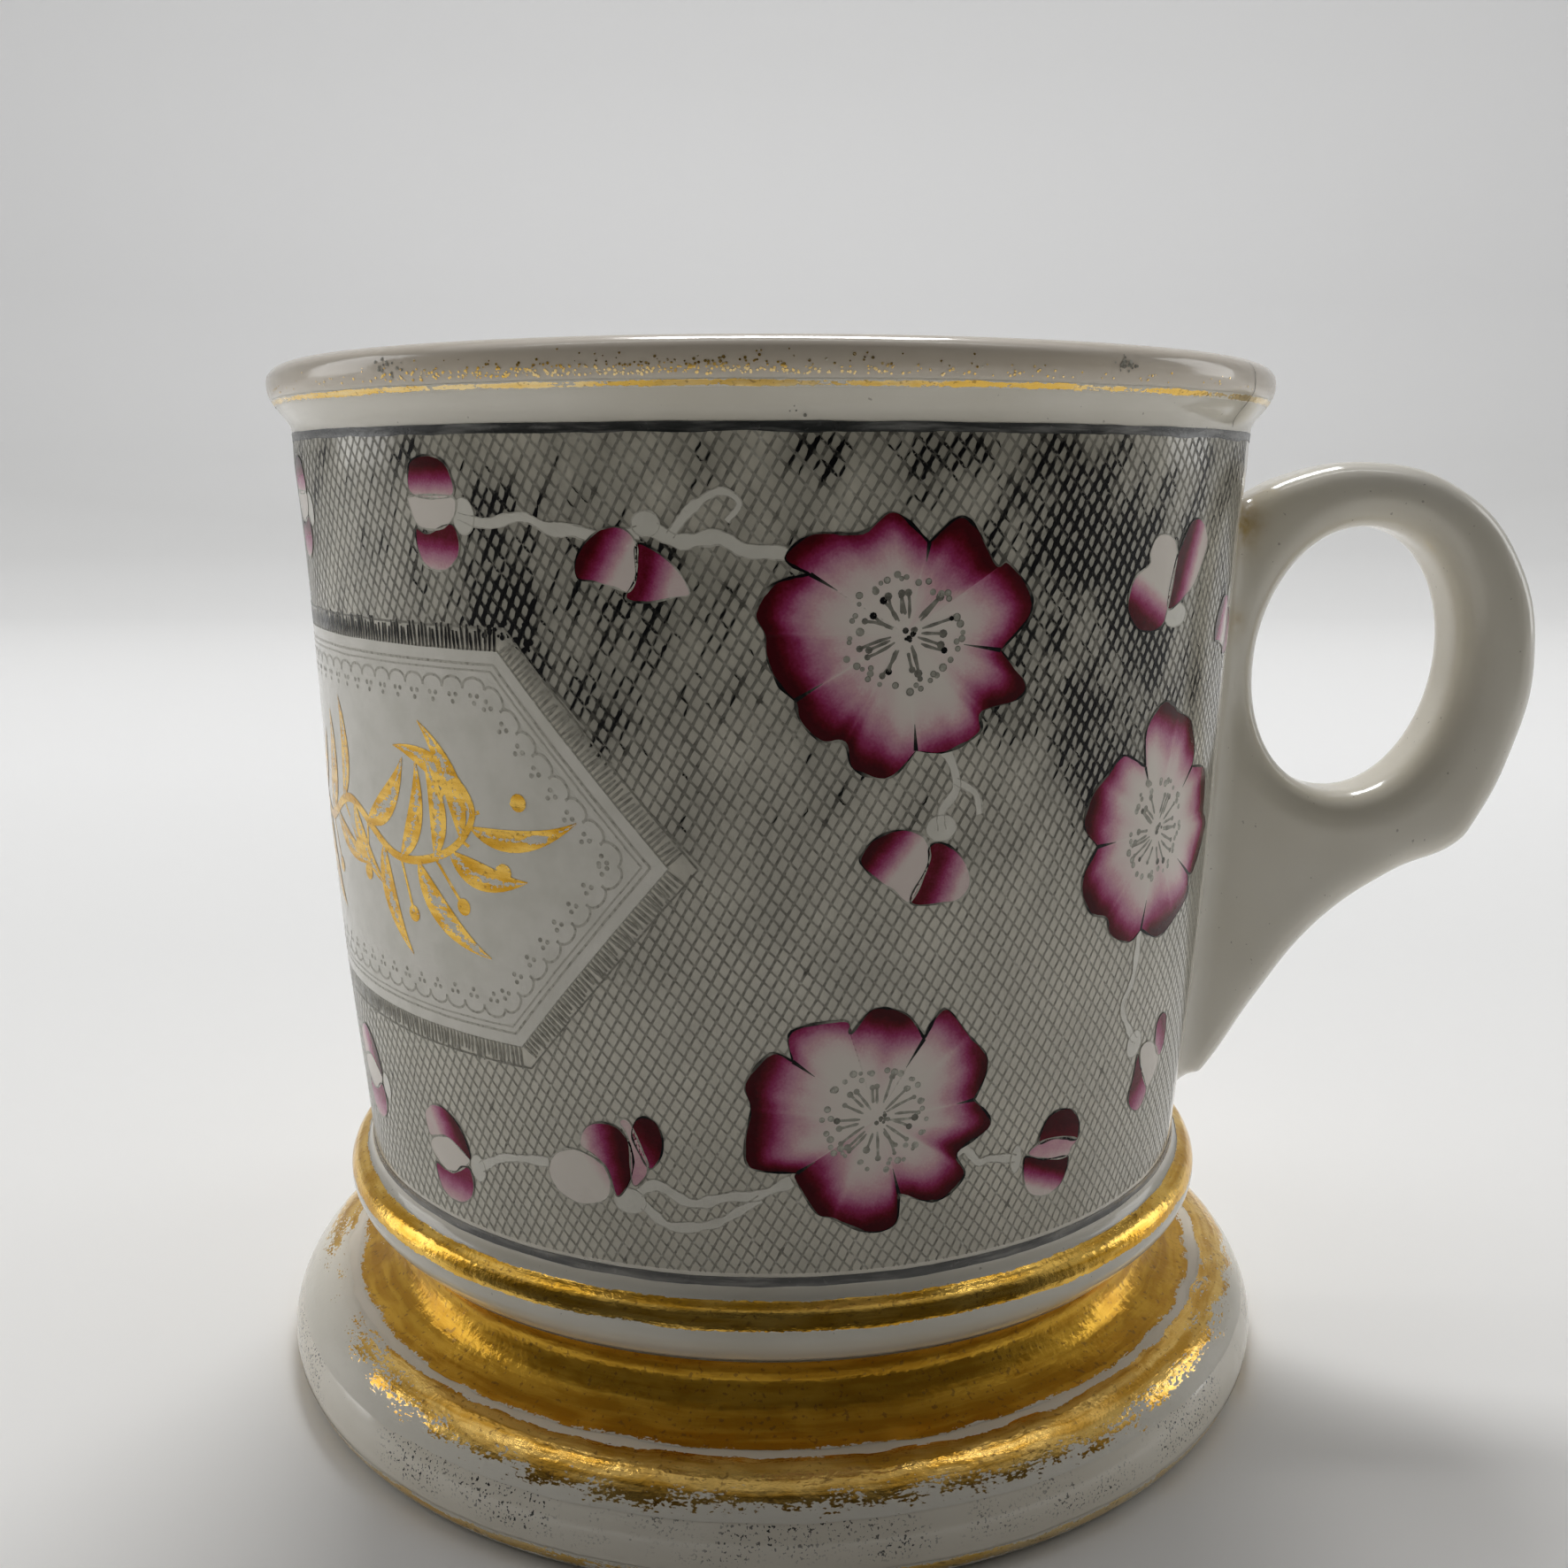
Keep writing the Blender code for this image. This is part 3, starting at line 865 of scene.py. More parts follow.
def make_handle():
    half_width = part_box("handle")[1].y
    curve = bpy.data.curves.new("handle_outline", "CURVE")
    curve.dimensions = "2D"
    curve.fill_mode = "BOTH"
    curve.extrude = half_width - HANDLE_ROUNDING * MM
    curve.bevel_depth = HANDLE_ROUNDING * MM
    curve.bevel_resolution = 8
    curve.offset = -HANDLE_ROUNDING * MM
    outline_spline(curve, HANDLE_RING + HANDLE_SPUR + HANDLE_SWEEP + HANDLE_ROOT, HANDLE_ROOT)
    hole = []
    for turn in (0.0, 0.25, 0.5, 0.75):
        along = HOLE_HALF_LENGTH * math.cos(turn * math.tau)
        across = HOLE_HALF_WIDTH * math.sin(turn * math.tau)
        hole.append((
            HOLE_CENTRE[0] + along * math.sin(HOLE_TILT) + across * math.cos(HOLE_TILT),
            HOLE_CENTRE[1] + along * math.cos(HOLE_TILT) - across * math.sin(HOLE_TILT),
        ))
    outline_spline(curve, hole)
    drawn = linked("handle_drawn", curve)
    blank = linked("handle_blank", bpy.data.meshes.new_from_object(drawn))
    weld = blank.modifiers.new("Weld", "WELD")
    weld.merge_threshold = 1e-6
    remesh = blank.modifiers.new("Remesh", "REMESH")
    remesh.mode = "VOXEL"
    remesh.voxel_size = VOXEL * MM
    soften = blank.modifiers.new("Soften", "SMOOTH")
    soften.factor = 0.5
    soften.iterations = 7
    bpy.context.view_layer.update()
    ready = blank.evaluated_get(bpy.context.evaluated_depsgraph_get())
    shape = bmesh.new()
    shape.from_mesh(ready.to_mesh())
    for obj in (blank, drawn):
        bpy.data.objects.remove(obj)

    # The curve was drawn lying down. Here it stands up, in millimetres from the mug's axis.
    shape.normal_update()
    for vertex in shape.verts:
        x, y, z = vertex.co.x / MM, -vertex.co.z / MM, vertex.co.y / MM
        radius = math.hypot(x, y)
        off = max(radius - radius_at(z), 0.0)
        flare = ROOT_FLARE * max(0.0, 1.0 - off / ROOT_REACH) ** ROOT_CURVE
        outward = Vector((x / radius, y / radius, 0.0))
        slide = Vector((vertex.normal.x, -vertex.normal.z, vertex.normal.y))
        slide -= outward * slide.dot(outward)
        moved = Vector((x, y, z)) + slide * flare
        moved.y -= math.copysign(hump(x, z, *CHEEK), y) * min(abs(y) / 4.0, 1.0)
        vertex.co = moved
    inside = [f for f in shape.faces if all(
        math.hypot(v.co.x, v.co.y) < radius_at(v.co.z) - ROOT_DEPTH for v in f.verts)]
    bmesh.ops.delete(shape, geom=inside, context="FACES")
    shape.verts.index_update()
    points = [Vector((AXIS_X + v.co.x * MM, v.co.y * MM, v.co.z * MM)) for v in shape.verts]
    values = {
        "place": [tuple(v.co) for v in shape.verts],
        "stain": [sum(hump(v.co.x, v.co.z, *stain) for stain in STAINS) for v in shape.verts],
    }
    faces = [[v.index for v in f.verts] for f in shape.faces]
    shape.free()
    handle = piece("handle_porcelain", points, faces, handle_glaze, values)
    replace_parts(handle, "handle", "handle_slip")


make_handle()
slip = plain_glaze("fired_slip_joint", (0.6, 0.57, 0.5), (0.5, 0.47, 0.4))
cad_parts["foot_slip"].data.materials.clear()
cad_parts["foot_slip"].data.materials.append(slip)


# ------------------------------------------------------------------ gold and painted lines

# How fast the gold wears away across a band, from its top edge at 0 to its bottom edge at 1.
FIRM = ((0.0, 0.3), (0.1, 0.0), (0.9, 0.0), (1.0, 0.3))
WORN_BELOW = ((0.0, 0.2), (0.06, 0.0), (0.42, 0.0), (0.7, 0.16), (1.0, 0.34))
WORN_ALL = ((0.0, 0.25), (0.3, 0.05), (0.7, 0.05), (1.0, 0.25))
WORN_MIDDLE = ((0.0, 0.0), (0.45, 0.05), (1.0, 0.2))
FOOT_RUBS = ((math.radians(-158.0), 0.4, 0.3), (math.radians(-22.0), 0.3, 0.12), (1.2, 0.5, 0.1))
BAND_RUBS = ((math.radians(-172.0), 0.35, 0.12),)

band_gold = gilding("band_gold", 0.76, FIRM)
# The scotia's gold is painted deeper and less metallic: painted shade and gold-on-gold reflection in
# its hollow.
scotia_gold_painted_shade = gilding("scotia_gold_painted_shade", 0.76, FIRM, light=SHADED_GOLD_AMBER, deep=SHADED_GOLD_BROWN, body=0.5)
foot_gold = gilding("foot_gold", 0.68, WORN_BELOW, light=GOLD_ROSE, deep=GOLD_BRONZE)
line_gold = gilding("line_gold", 0.62, WORN_ALL, light=GOLD_PALE, deep=GOLD_LIGHT)
dark_enamel = enamel("border_enamel", (0.02, 0.022, 0.022), (0.2, 0.2, 0.19))
grey_enamel = enamel("lower_enamel", (0.1, 0.1, 0.095), (0.27, 0.265, 0.245))

# Each band's name, the CAD coating it stands for, the clay it lies on, its paint, how far its top
# and bottom edges wander, its seed and rows, where it is rubbed, and its lift.
GILT_BANDS = (
    ("rim_gilt", "rim_gilt_line", cup_outside, line_gold, (0.1, 0.1), 1.0, 4),
    ("ring_gilt", "ring_gilt_band", cup_outside, band_gold, (0.2, 0.3), 2.0, 14),
    ("scotia_gilt", "scotia_gilt_band", foot_outside, scotia_gold_painted_shade, (0.0, 0.5), 3.0, 30, BAND_RUBS),
    ("foot_gilt", "foot_gilt_band", foot_outside, foot_gold, (0.7, 0.2), 4.0, 24, FOOT_RUBS),
    ("foot_edge_gilt", "foot_edge_gilt_line", foot_outside, line_gold, (0.2, 0.2), 5.0, 8),
)
ENAMEL_BANDS = (
    ("upper_line", "upper_border_line", cup_outside, dark_enamel, (0.1, 0.3), 6.0, 4, (), BORDER_LIFT),
    ("lower_line", "lower_border_line", cup_outside, grey_enamel, (0.1, 0.15), 7.0, 4),
)
for band in GILT_BANDS:
    brushed_band(*band)
for band in ENAMEL_BANDS:
    brushed_band(*band)


# ------------------------------------------------------------------ the print's ground

NEAR, FAR = -math.pi / 2.0, math.pi / 2.0
PANEL_MIDDLE = math.pi
QUARTER = ROLL_RADIUS * math.pi / 2.0
HANDLE_STRIP = math.radians(22.5)
# The print runs from one side of the strip behind the handle round to the other.
PRINT_END = QUARTER - ROLL_RADIUS * HANDLE_STRIP
PRINT_START = PRINT_END - ROLL_RADIUS * (math.tau - 2.0 * HANDLE_STRIP)
PRINT_TOP, PRINT_BOTTOM = 85.8, 22.3

PANEL_TOP, PANEL_BOTTOM = 70.1, 39.5
PANEL_WAIST = (PANEL_TOP + PANEL_BOTTOM) / 2.0
PANEL_CORNER_X = ROLL_RADIUS * math.radians(61.7)
PANEL_TIP_X = ROLL_RADIUS * math.radians(79.5)
PANEL_HALF_HEIGHT = PANEL_TOP - PANEL_WAIST
PANEL_SLOPE = math.dist((PANEL_TIP_X, PANEL_WAIST), (PANEL_CORNER_X, PANEL_TOP))
# The unit vector out of one of the panel's sloping edges.
PANEL_ACROSS = PANEL_HALF_HEIGHT / PANEL_SLOPE
PANEL_UP = (PANEL_TIP_X - PANEL_CORNER_X) / PANEL_SLOPE
# How far the fringe of ticks round the panel reaches out over the print.
FRINGE = 1.7


def hexagon(grow):
    """The reserved panel's outline, grown outward by this much."""
    corner = PANEL_CORNER_X + grow * (1.0 - PANEL_UP) / PANEL_ACROSS
    tip = PANEL_TIP_X + grow / PANEL_ACROSS
    top, bottom = PANEL_TOP + grow, PANEL_BOTTOM - grow
    return [
        (corner, top), (-corner, top), (-tip, PANEL_WAIST), (-corner, bottom), (corner, bottom),
        (tip, PANEL_WAIST),
    ]


def panel_reach(x, y):
    """How far outside the panel's outline a point is. x is from the panel's middle."""
    x, y = abs(x), abs(y - PANEL_WAIST)
    return max(y - PANEL_HALF_HEIGHT, (x - PANEL_TIP_X) * PANEL_ACROSS + y * PANEL_UP)


def side_x(x):
    """Where a point of the whole unrolled wall is on the nearer half's drawing."""
    return x if x > -QUARTER else -2.0 * QUARTER - x


# The two sets of lines: how far apart they are, and the way each runs from the horizontal.
PITCH_UP, PITCH_DOWN = 0.83, 0.96
LEAN_UP, LEAN_DOWN = math.radians(62.0), math.radians(134.0)
# How fast the ink changes along the upward lines, against how fast it changes across them.
STREAK = 0.3
# Going up, the print darkens between these heights. Nowhere is it fainter than FAINTEST.
DARKENS_FROM, DARKENS_TO = 36.0, 84.0
FAINTEST = 0.03
# Where the print is heavier or fainter: middle, height, half-sizes and the change.
DARK_PATCHES = (
    (-22.0, 71.5, 8.0, 7.0, 0.3),
    (-14.0, 71.0, 8.0, 6.0, 0.42),
    (-8.0, 61.0, 9.0, 8.0, 0.15),
    (-44.0, 73.0, 11.0, 8.0, -0.3),
    (24.0, 74.0, 11.0, 12.0, 0.46),
    (30.0, 62.0, 10.0, 10.0, 0.38),
    (8.0, 84.0, 9.0, 4.0, 0.12),
    (-5.0, 79.0, 10.0, 5.0, -0.1),
    (0.0, 49.0, 14.0, 7.0, 0.18),
    (32.0, 40.0, 14.0, 12.0, -0.08),
)


def darkness(x, y):
    """How heavy the print is, from 0 to 1: heaviest high up, blotchy, and faint low down."""
    side = side_x(x)
    height = smoothstep(DARKENS_FROM, DARKENS_TO, y)
    dark = 0.12 + 0.36 * height ** 1.3
    for patch in DARK_PATCHES:
        dark += hump(side, y, *patch)
    dark *= 1.0 + 0.6 * blotch(x, y, 9.0, 3.0)
    across = x * math.sin(LEAN_UP) - y * math.cos(LEAN_UP)
    along = x * math.cos(LEAN_UP) + y * math.sin(LEAN_UP)
    dark += 0.5 * height * blotch(across, STREAK * along, 2.2, 8.0)
    return min(max(dark, FAINTEST), 1.0)


def loaded(x, y, luck):
    """The print's darkness at a point, and how big a blob of ink sits on it."""
    dark = darkness(x, y)
    return dark, smoothstep(0.0, 0.8, 1.5 * dark - 0.45 - 0.7 * luck)


# The lattice is cut into this many pieces round the mug.
SECTORS = 8
# How often a drop of ink sits on a crossing of its own, where the print is at its heaviest.
STRAY_DRIPS = 0.06
UNSTEADY = 0.07
# The lines of the second set are this much fainter than those of the first.
FAINTER = 0.8
# Less of the ink floods a cell's side along the second set. Too little of it shows nothing.
FLOOD_SHARE, LEAST_FLOOD = 0.45, 0.15


def crossing(i, j):
    """Where line i of the one set meets line j of the other, as an unsteady hand drew them."""
    up, down = (-math.sin(LEAN_UP), math.cos(LEAN_UP)), (-math.sin(LEAN_DOWN), math.cos(LEAN_DOWN))
    a, b = i * PITCH_UP, j * PITCH_DOWN
    scale = up[0] * down[1] - up[1] * down[0]
    x, y = (a * down[1] - b * up[1]) / scale, (b * up[0] - a * down[0]) / scale
    wobble = noise.noise_vector(Vector((x * 0.5, y * 0.5, 1.0)))
    return (x + UNSTEADY * wobble.x, y + UNSTEADY * wobble.y)


def clipped(p, q):
    """The part of a line between the print's top and bottom, or None."""
    if max(p[1], q[1]) < PRINT_BOTTOM or min(p[1], q[1]) > PRINT_TOP:
        return None
    ends = []
    for a, b in ((p, q), (q, p)):
        limit = min(max(a[1], PRINT_BOTTOM), PRINT_TOP)
        t = 0.0 if limit == a[1] else (limit - a[1]) / (b[1] - a[1])
        ends.append((a[0] + (b[0] - a[0]) * t, limit))
    return ends


def ink_blob(sheet, start, end, size, chance):
    """Heavy ink that flooded one side of a cell."""
    path, widths = [], []
    reach = 0.3 + 0.3 * size
    for step in (0.5 - reach, 0.5 - 0.35 * reach, 0.5 + 0.35 * reach, 0.5 + reach):
        path.append([a + (b - a) * step + chance.gauss(0.0, 0.035) for a, b in zip(start, end)])
        swell = 1.0 - 0.75 * ((step - 0.5) / reach) ** 2
        widths.append((0.08 + 0.26 * size) * chance.uniform(0.5, 1.4) * swell)
    sheet.ribbon(path, widths, [0.7 + 0.3 * size] * 4)


def lattice():
    """The cross-hatching: two sets of lines, swelling where they cross and where ink is heavy."""
    width = (PRINT_END - PRINT_START) / SECTORS
    sheets = [(Drawing(NEAR), Drawing(NEAR)) for _ in range(SECTORS)]
    steps_up = range(
        math.floor(-PRINT_END / PITCH_UP), math.ceil((PRINT_TOP - PRINT_START) / PITCH_UP)
    )
    steps_down = range(
        math.floor((-PRINT_END - PRINT_TOP) / PITCH_DOWN), math.ceil(-PRINT_START / PITCH_DOWN)
    )
    chance = random.Random(3)
    crossings = {}
    for i in steps_up:
        for j in steps_down:
            x, y = crossing(i, j)
            near_x = PRINT_START - 1.0 < x < PRINT_END + 1.0
            if near_x and PRINT_BOTTOM - 2.0 < y < PRINT_TOP + 2.0:
                dark, blob = loaded(x, y, chance.random())
                drip = chance.uniform(0.1, 0.6) if chance.random() < STRAY_DRIPS * dark else 0.0
                crossings[i, j] = (x, y, (dark, max(blob, drip)))
    for (i, j), (x, y, dark) in crossings.items():
        for family, ahead in enumerate(((i, j + 1), (i + 1, j))):
            if ahead not in crossings:
                continue
            xb, yb, dark_b = crossings[ahead]
            middle = ((x + xb) / 2.0, (y + yb) / 2.0)
            in_print = PRINT_START < middle[0] < PRINT_END
            if not in_print or panel_reach(middle[0] + QUARTER, middle[1]) < FRINGE:
                continue
            blob = (dark[1] + dark_b[1]) / 2.0
            dim = (dark[0] + dark_b[0]) / 2.0
            faint = FAINTER if family else 1.0
            narrow = faint * (0.17 + 0.1 * dim + 0.06 * blob)
            weights = [faint * (0.2 + 0.1 * d + 0.22 * b) for d, b in (dark, dark_b)]
            inks = [min(faint * (0.1 + 0.42 * d) + 0.5 * b, 1.0) for d, b in (dark, dark_b)]
            ink_between = min(faint * (0.1 + 0.42 * dim + 0.25 * blob), 1.0)
            sector = min(int((middle[0] - PRINT_START) / width), SECTORS - 1)
            sheet = sheets[sector][family]
            for end, weight, strength in zip(((x, y), (xb, yb)), weights, inks):
                part = clipped(end, middle)
                if part:
                    sheet.ribbon(part, [weight, narrow], [strength, ink_between])
            flood = loaded(*middle, chance.random())[1] * (FLOOD_SHARE if family else 1.0)
            if flood > LEAST_FLOOD and PRINT_BOTTOM + 0.6 < middle[1] < PRINT_TOP - 0.6:
                ink_blob(sheets[sector][1], (x, y), (xb, yb), flood, chance)
    return sheets


print_ink = ink("print_ink")
for number, families in enumerate(lattice()):
    for family, sheet in enumerate(families):
        name = f"lattice_{'down' if family else 'up'}_{number}"
        sheet.wrapped(name, print_ink, LATTICE_LIFTS[family], "transfer_print")


def print_ground():
    """The tinted glaze below the lines, from one side of the handle round to the other."""
    sheet = Drawing(NEAR)
    rows, columns = 60, 240
    made = []
    for row in range(rows + 1):
        y = PRINT_BOTTOM + (PRINT_TOP - PRINT_BOTTOM) * row / rows
        line = []
        for column in range(columns + 1):
            x = PRINT_START + (PRINT_END - PRINT_START) * column / columns
            inside = 1.0 - smoothstep(0.0, FRINGE, panel_reach(x + QUARTER, y))
            line.append((x, y, (0.05 + 1.1 * darkness(x, y) ** 0.9) * (1.0 - inside)))
        made.append(line)
    sheet.sheet(made[::-1])
    return sheet.wrapped("print_ground", ground("print_ground"), GROUND_LIFT, "transfer_print")


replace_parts(print_ground(), "printed_ground")


# ------------------------------------------------------------------ the reserved panel

def edge_steps(corners, pitch):
    """Points at this pitch along a closed outline, each with the unit vector out of it."""
    steps = []
    for a, b in sides(corners):
        length = math.dist(a, b)
        count = round(length / pitch)
        outward = ((b[1] - a[1]) / length, -(b[0] - a[0]) / length)
        steps += [(between(a, b, (k + 0.5) / count), outward) for k in range(count)]
    return steps


# The panel's inks: how far out each outline runs, its width and its strength.
PANEL_OUTLINES = (
    (0.05, 0.1, 0.1), (FRINGE, 0.15, 0.25), (-1.0, 0.2, 0.03), (-1.5, 0.15, 0.0),
)
# How far apart the ticks of the fringe are.
TICK_PITCH = 0.42
# The scallops inside the frame: how far apart and how far in they are, how far each one bulges,
# and its dots, as how far along from its middle and how far in.
SCALLOP_PITCH, SCALLOP_INSET, SCALLOP_DEPTH = 2.1, 2.9, 0.85
SCALLOP_DOTS = ((-0.32, 0.5), (0.32, 0.5), (0.0, 1.05))


def panel_plate():
    plate = Drawing(PANEL_MIDDLE)
    rows = []
    for k in range(41):
        y = PANEL_TOP - (PANEL_TOP - PANEL_BOTTOM) * k / 40
        lean = 1.0 - abs(y - PANEL_WAIST) / PANEL_HALF_HEIGHT
        half = PANEL_CORNER_X + (PANEL_TIP_X - PANEL_CORNER_X) * lean
        rows.append([(half * (m / 64.0 - 1.0), y, 0.0) for m in range(129)])
    plate.sheet(rows)
    glaze = plain_glaze("panel_glaze", (0.79, 0.765, 0.69), (0.72, 0.7, 0.62))
    return plate.wrapped("reserved_panel", glaze, PANEL_LIFT, "reserved_panel")


def panel_lines():
    """The panel's frame: a fringe of ticks with heavy corners, outlines, scallops and dots."""
    lines = Drawing(PANEL_MIDDLE)
    chance = random.Random(5)
    for (x, y), (out_x, out_y) in edge_steps(hexagon(0.0), TICK_PITCH):
        heavy = (0.95 if out_y > 0.9 else 0.24) * chance.uniform(0.7, 1.0)
        reach = FRINGE * chance.uniform(0.75, 1.15)
        lean = chance.uniform(-0.15, 0.15)
        end = (x + out_x * reach + out_y * lean, y + out_y * reach - out_x * lean)
        middle = ((x + end[0]) / 2.0, (y + end[1]) / 2.0)
        lines.ribbon([(x, y), middle, end], [0.16, 0.25, 0.14], [heavy * 0.7, heavy, heavy])
    for way in (1.0, -1.0):
        for _ in range(34):
            x = way * (hexagon(FRINGE)[0][0] + chance.gauss(-0.2, 1.7))
            y = PANEL_TOP + FRINGE + chance.gauss(-0.7, 0.9)
            if panel_reach(x, y) > 0.8:
                lines.dot(x, y, chance.uniform(0.08, 0.3), 1.0)
    for grow, weight, strength in PANEL_OUTLINES:
        for a, b in sides(hexagon(grow)):
            path = [between(a, b, k / 60) for k in range(61)]
            path = [(x, y + 0.05 * blotch(x, y, 3.0, grow)) for x, y in path]
            lines.line(path, weight, strength)
    for (x, y), (out_x, out_y) in edge_steps(hexagon(-SCALLOP_INSET), SCALLOP_PITCH):
        arc = []
        for k in range(13):
            turn = math.pi * k / 12
            along = -0.5 * SCALLOP_PITCH * math.cos(turn)
            bulge = SCALLOP_DEPTH * math.sin(turn) ** 0.8
            arc.append((x - out_y * along + out_x * bulge, y + out_x * along + out_y * bulge))
        lines.line(arc, 0.2, 0.02)
        for along, inward in SCALLOP_DOTS:
            dot = (x - out_y * along - out_x * inward, y + out_x * along - out_y * inward)
            lines.dot(*dot, 0.2, 0.06)
    lines.wrapped("panel_lines", print_ink, PANEL_INK_LIFT, "transfer_print")


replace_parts(panel_plate(), "name_panel")
panel_lines()


def leaf(drawing, x, y, angle, length, width):
    """A leaf that tapers at both ends, its gold thickest at the edges."""
    rows = []
    for k in range(13):
        t = k / 12
        bend = angle + 0.5 * (t - 0.5)
        mx, my = x + length * t * math.cos(bend), y + length * t * math.sin(bend)
        half = width / 2.0 * math.sin(math.pi * t ** 0.8) + 0.04
        rows.append([
            (mx + half * w * math.sin(bend), my - half * w * math.cos(bend), 1.0 - abs(w))
            for w in (-1.0, -0.5, 0.0, 0.5, 1.0)
        ])
    drawing.sheet(rows[::-1])


# The right half of the sprig's stem, from the panel's middle to the curl at its end.
SPRIG_STEM = (
    (0.0, 54.6), (8.0, 56.6), (16.0, 53.6), (24.0, 56.4), (32.0, 53.0), (38.5, 54.2), (41.6, 57.4),
    (40.2, 60.0), (38.2, 58.6),
)


def gilt_sprig():
    """A plain leafy branch. It stands in for the owner's name, which isn't repeated."""
    sprig = Drawing(PANEL_MIDDLE)
    chance = random.Random(11)
    for way in (1.0, -1.0):
        stem = curve_through([(way * x, y) for x, y in SPRIG_STEM], 12)
        sprig.ribbon(stem, [0.95 - 0.5 * k / len(stem) for k in range(len(stem))], [0.3] * len(stem))
        side = 1.0
        for k in range(5, len(stem) - 22, 4):
            (xa, ya), (xb, yb) = stem[k - 1], stem[k + 1]
            heading = math.atan2(yb - ya, xb - xa)
            side = -side
            angle = heading + way * side * math.radians(chance.uniform(50.0, 66.0))
            x, y = stem[k]
            leaf(sprig, x, y, angle, chance.uniform(7.6, 10.2), chance.uniform(1.7, 2.4))
            if k % 8 == 1:
                out = heading - way * side * math.radians(70.0)
                tip = (x + 4.6 * math.cos(out), y + 4.6 * math.sin(out))
                sprig.line([(x, y), tip], 0.3, 0.3)
                sprig.dot(*tip, 0.7, 0.4, sides=14)
    sprig_gold = gilding("sprig_gold", 0.64, WORN_MIDDLE, gloss=(0.12, 0.3))
    sprig.wrapped("gilt_sprig", sprig_gold, SPRIG_LIFT, "gilding", key="across")


gilt_sprig()


# ------------------------------------------------------------------ flowers and buds

# Each flower is its angle from the middle of its side, its height, how dark its stamens are, and
# its five petals. A petal starts at the cleft before it, and every point is measured from the
# flower's centre.
FLOWERS = {
    "upper": (12.7, 71.8, 0.62, [
        [(1.5, 6.3), (3.5, 8.0), (4.9, 7.3), (6.6, 4.7), (7.6, 4.8), (9.5, 2.7), (9.5, 0.9)],
        [(7.3, -1.4), (9.5, -3.9), (8.8, -5.1), (6.0, -5.8), (5.9, -7.3), (3.3, -8.6)],
        [(1.0, -8.4), (-0.9, -10.3), (-3.5, -9.6), (-4.2, -7.7), (-5.9, -7.5), (-7.3, -6.1)],
        [(-7.7, -4.6), (-8.8, -3.5), (-9.6, -1.7), (-9.8, 0.1), (-10.4, 1.5), (-9.2, 3.5)],
        [(-6.7, 4.2), (-8.4, 5.3), (-6.6, 6.9), (-3.2, 7.0), (-1.1, 8.4)],
    ]),
    "side": (47.7, 54.8, 0.3, [
        [(-2.4, 5.4), (-2.6, 8.5), (-0.2, 10.4), (2.4, 9.3), (5.0, 8.2), (6.3, 5.9)],
        [(6.1, 4.3), (9.8, 3.5), (10.8, 1.1), (10.8, -0.4), (12.4, -2.0), (9.3, -5.2)],
        [(7.6, -5.2), (8.0, -7.2), (5.0, -8.7), (2.0, -9.5)],
        [(-1.1, -8.2), (-2.8, -8.9), (-5.4, -7.8), (-6.1, -6.3), (-8.2, -5.4), (-9.3, -2.8)],
        [(-7.8, -0.2), (-9.5, 1.7), (-8.7, 4.1), (-7.2, 5.4), (-5.4, 6.7)],
    ]),
    "lower": (11.1, 35.1, 0.25, [
        [(3.6, 6.2), (4.5, 7.9), (5.5, 8.3), (7.4, 6.0), (9.0, 4.2), (9.1, 2.6)],
        [(8.2, 0.6), (9.9, -1.8), (7.0, -3.7), (7.8, -5.8), (5.5, -7.6)],
        [(2.1, -6.6), (1.9, -9.1), (-0.3, -9.6), (-3.3, -8.2), (-4.7, -7.6), (-6.3, -4.8)],
        [(-6.2, -4.2), (-9.8, -3.8), (-10.3, -1.8), (-9.8, 1.2), (-10.2, 3.2), (-8.3, 5.6)],
        [(-6.6, 5.0), (-6.7, 7.4), (-2.7, 8.1), (-2.2, 7.1), (-0.5, 8.9), (2.1, 8.3)],
    ]),
}

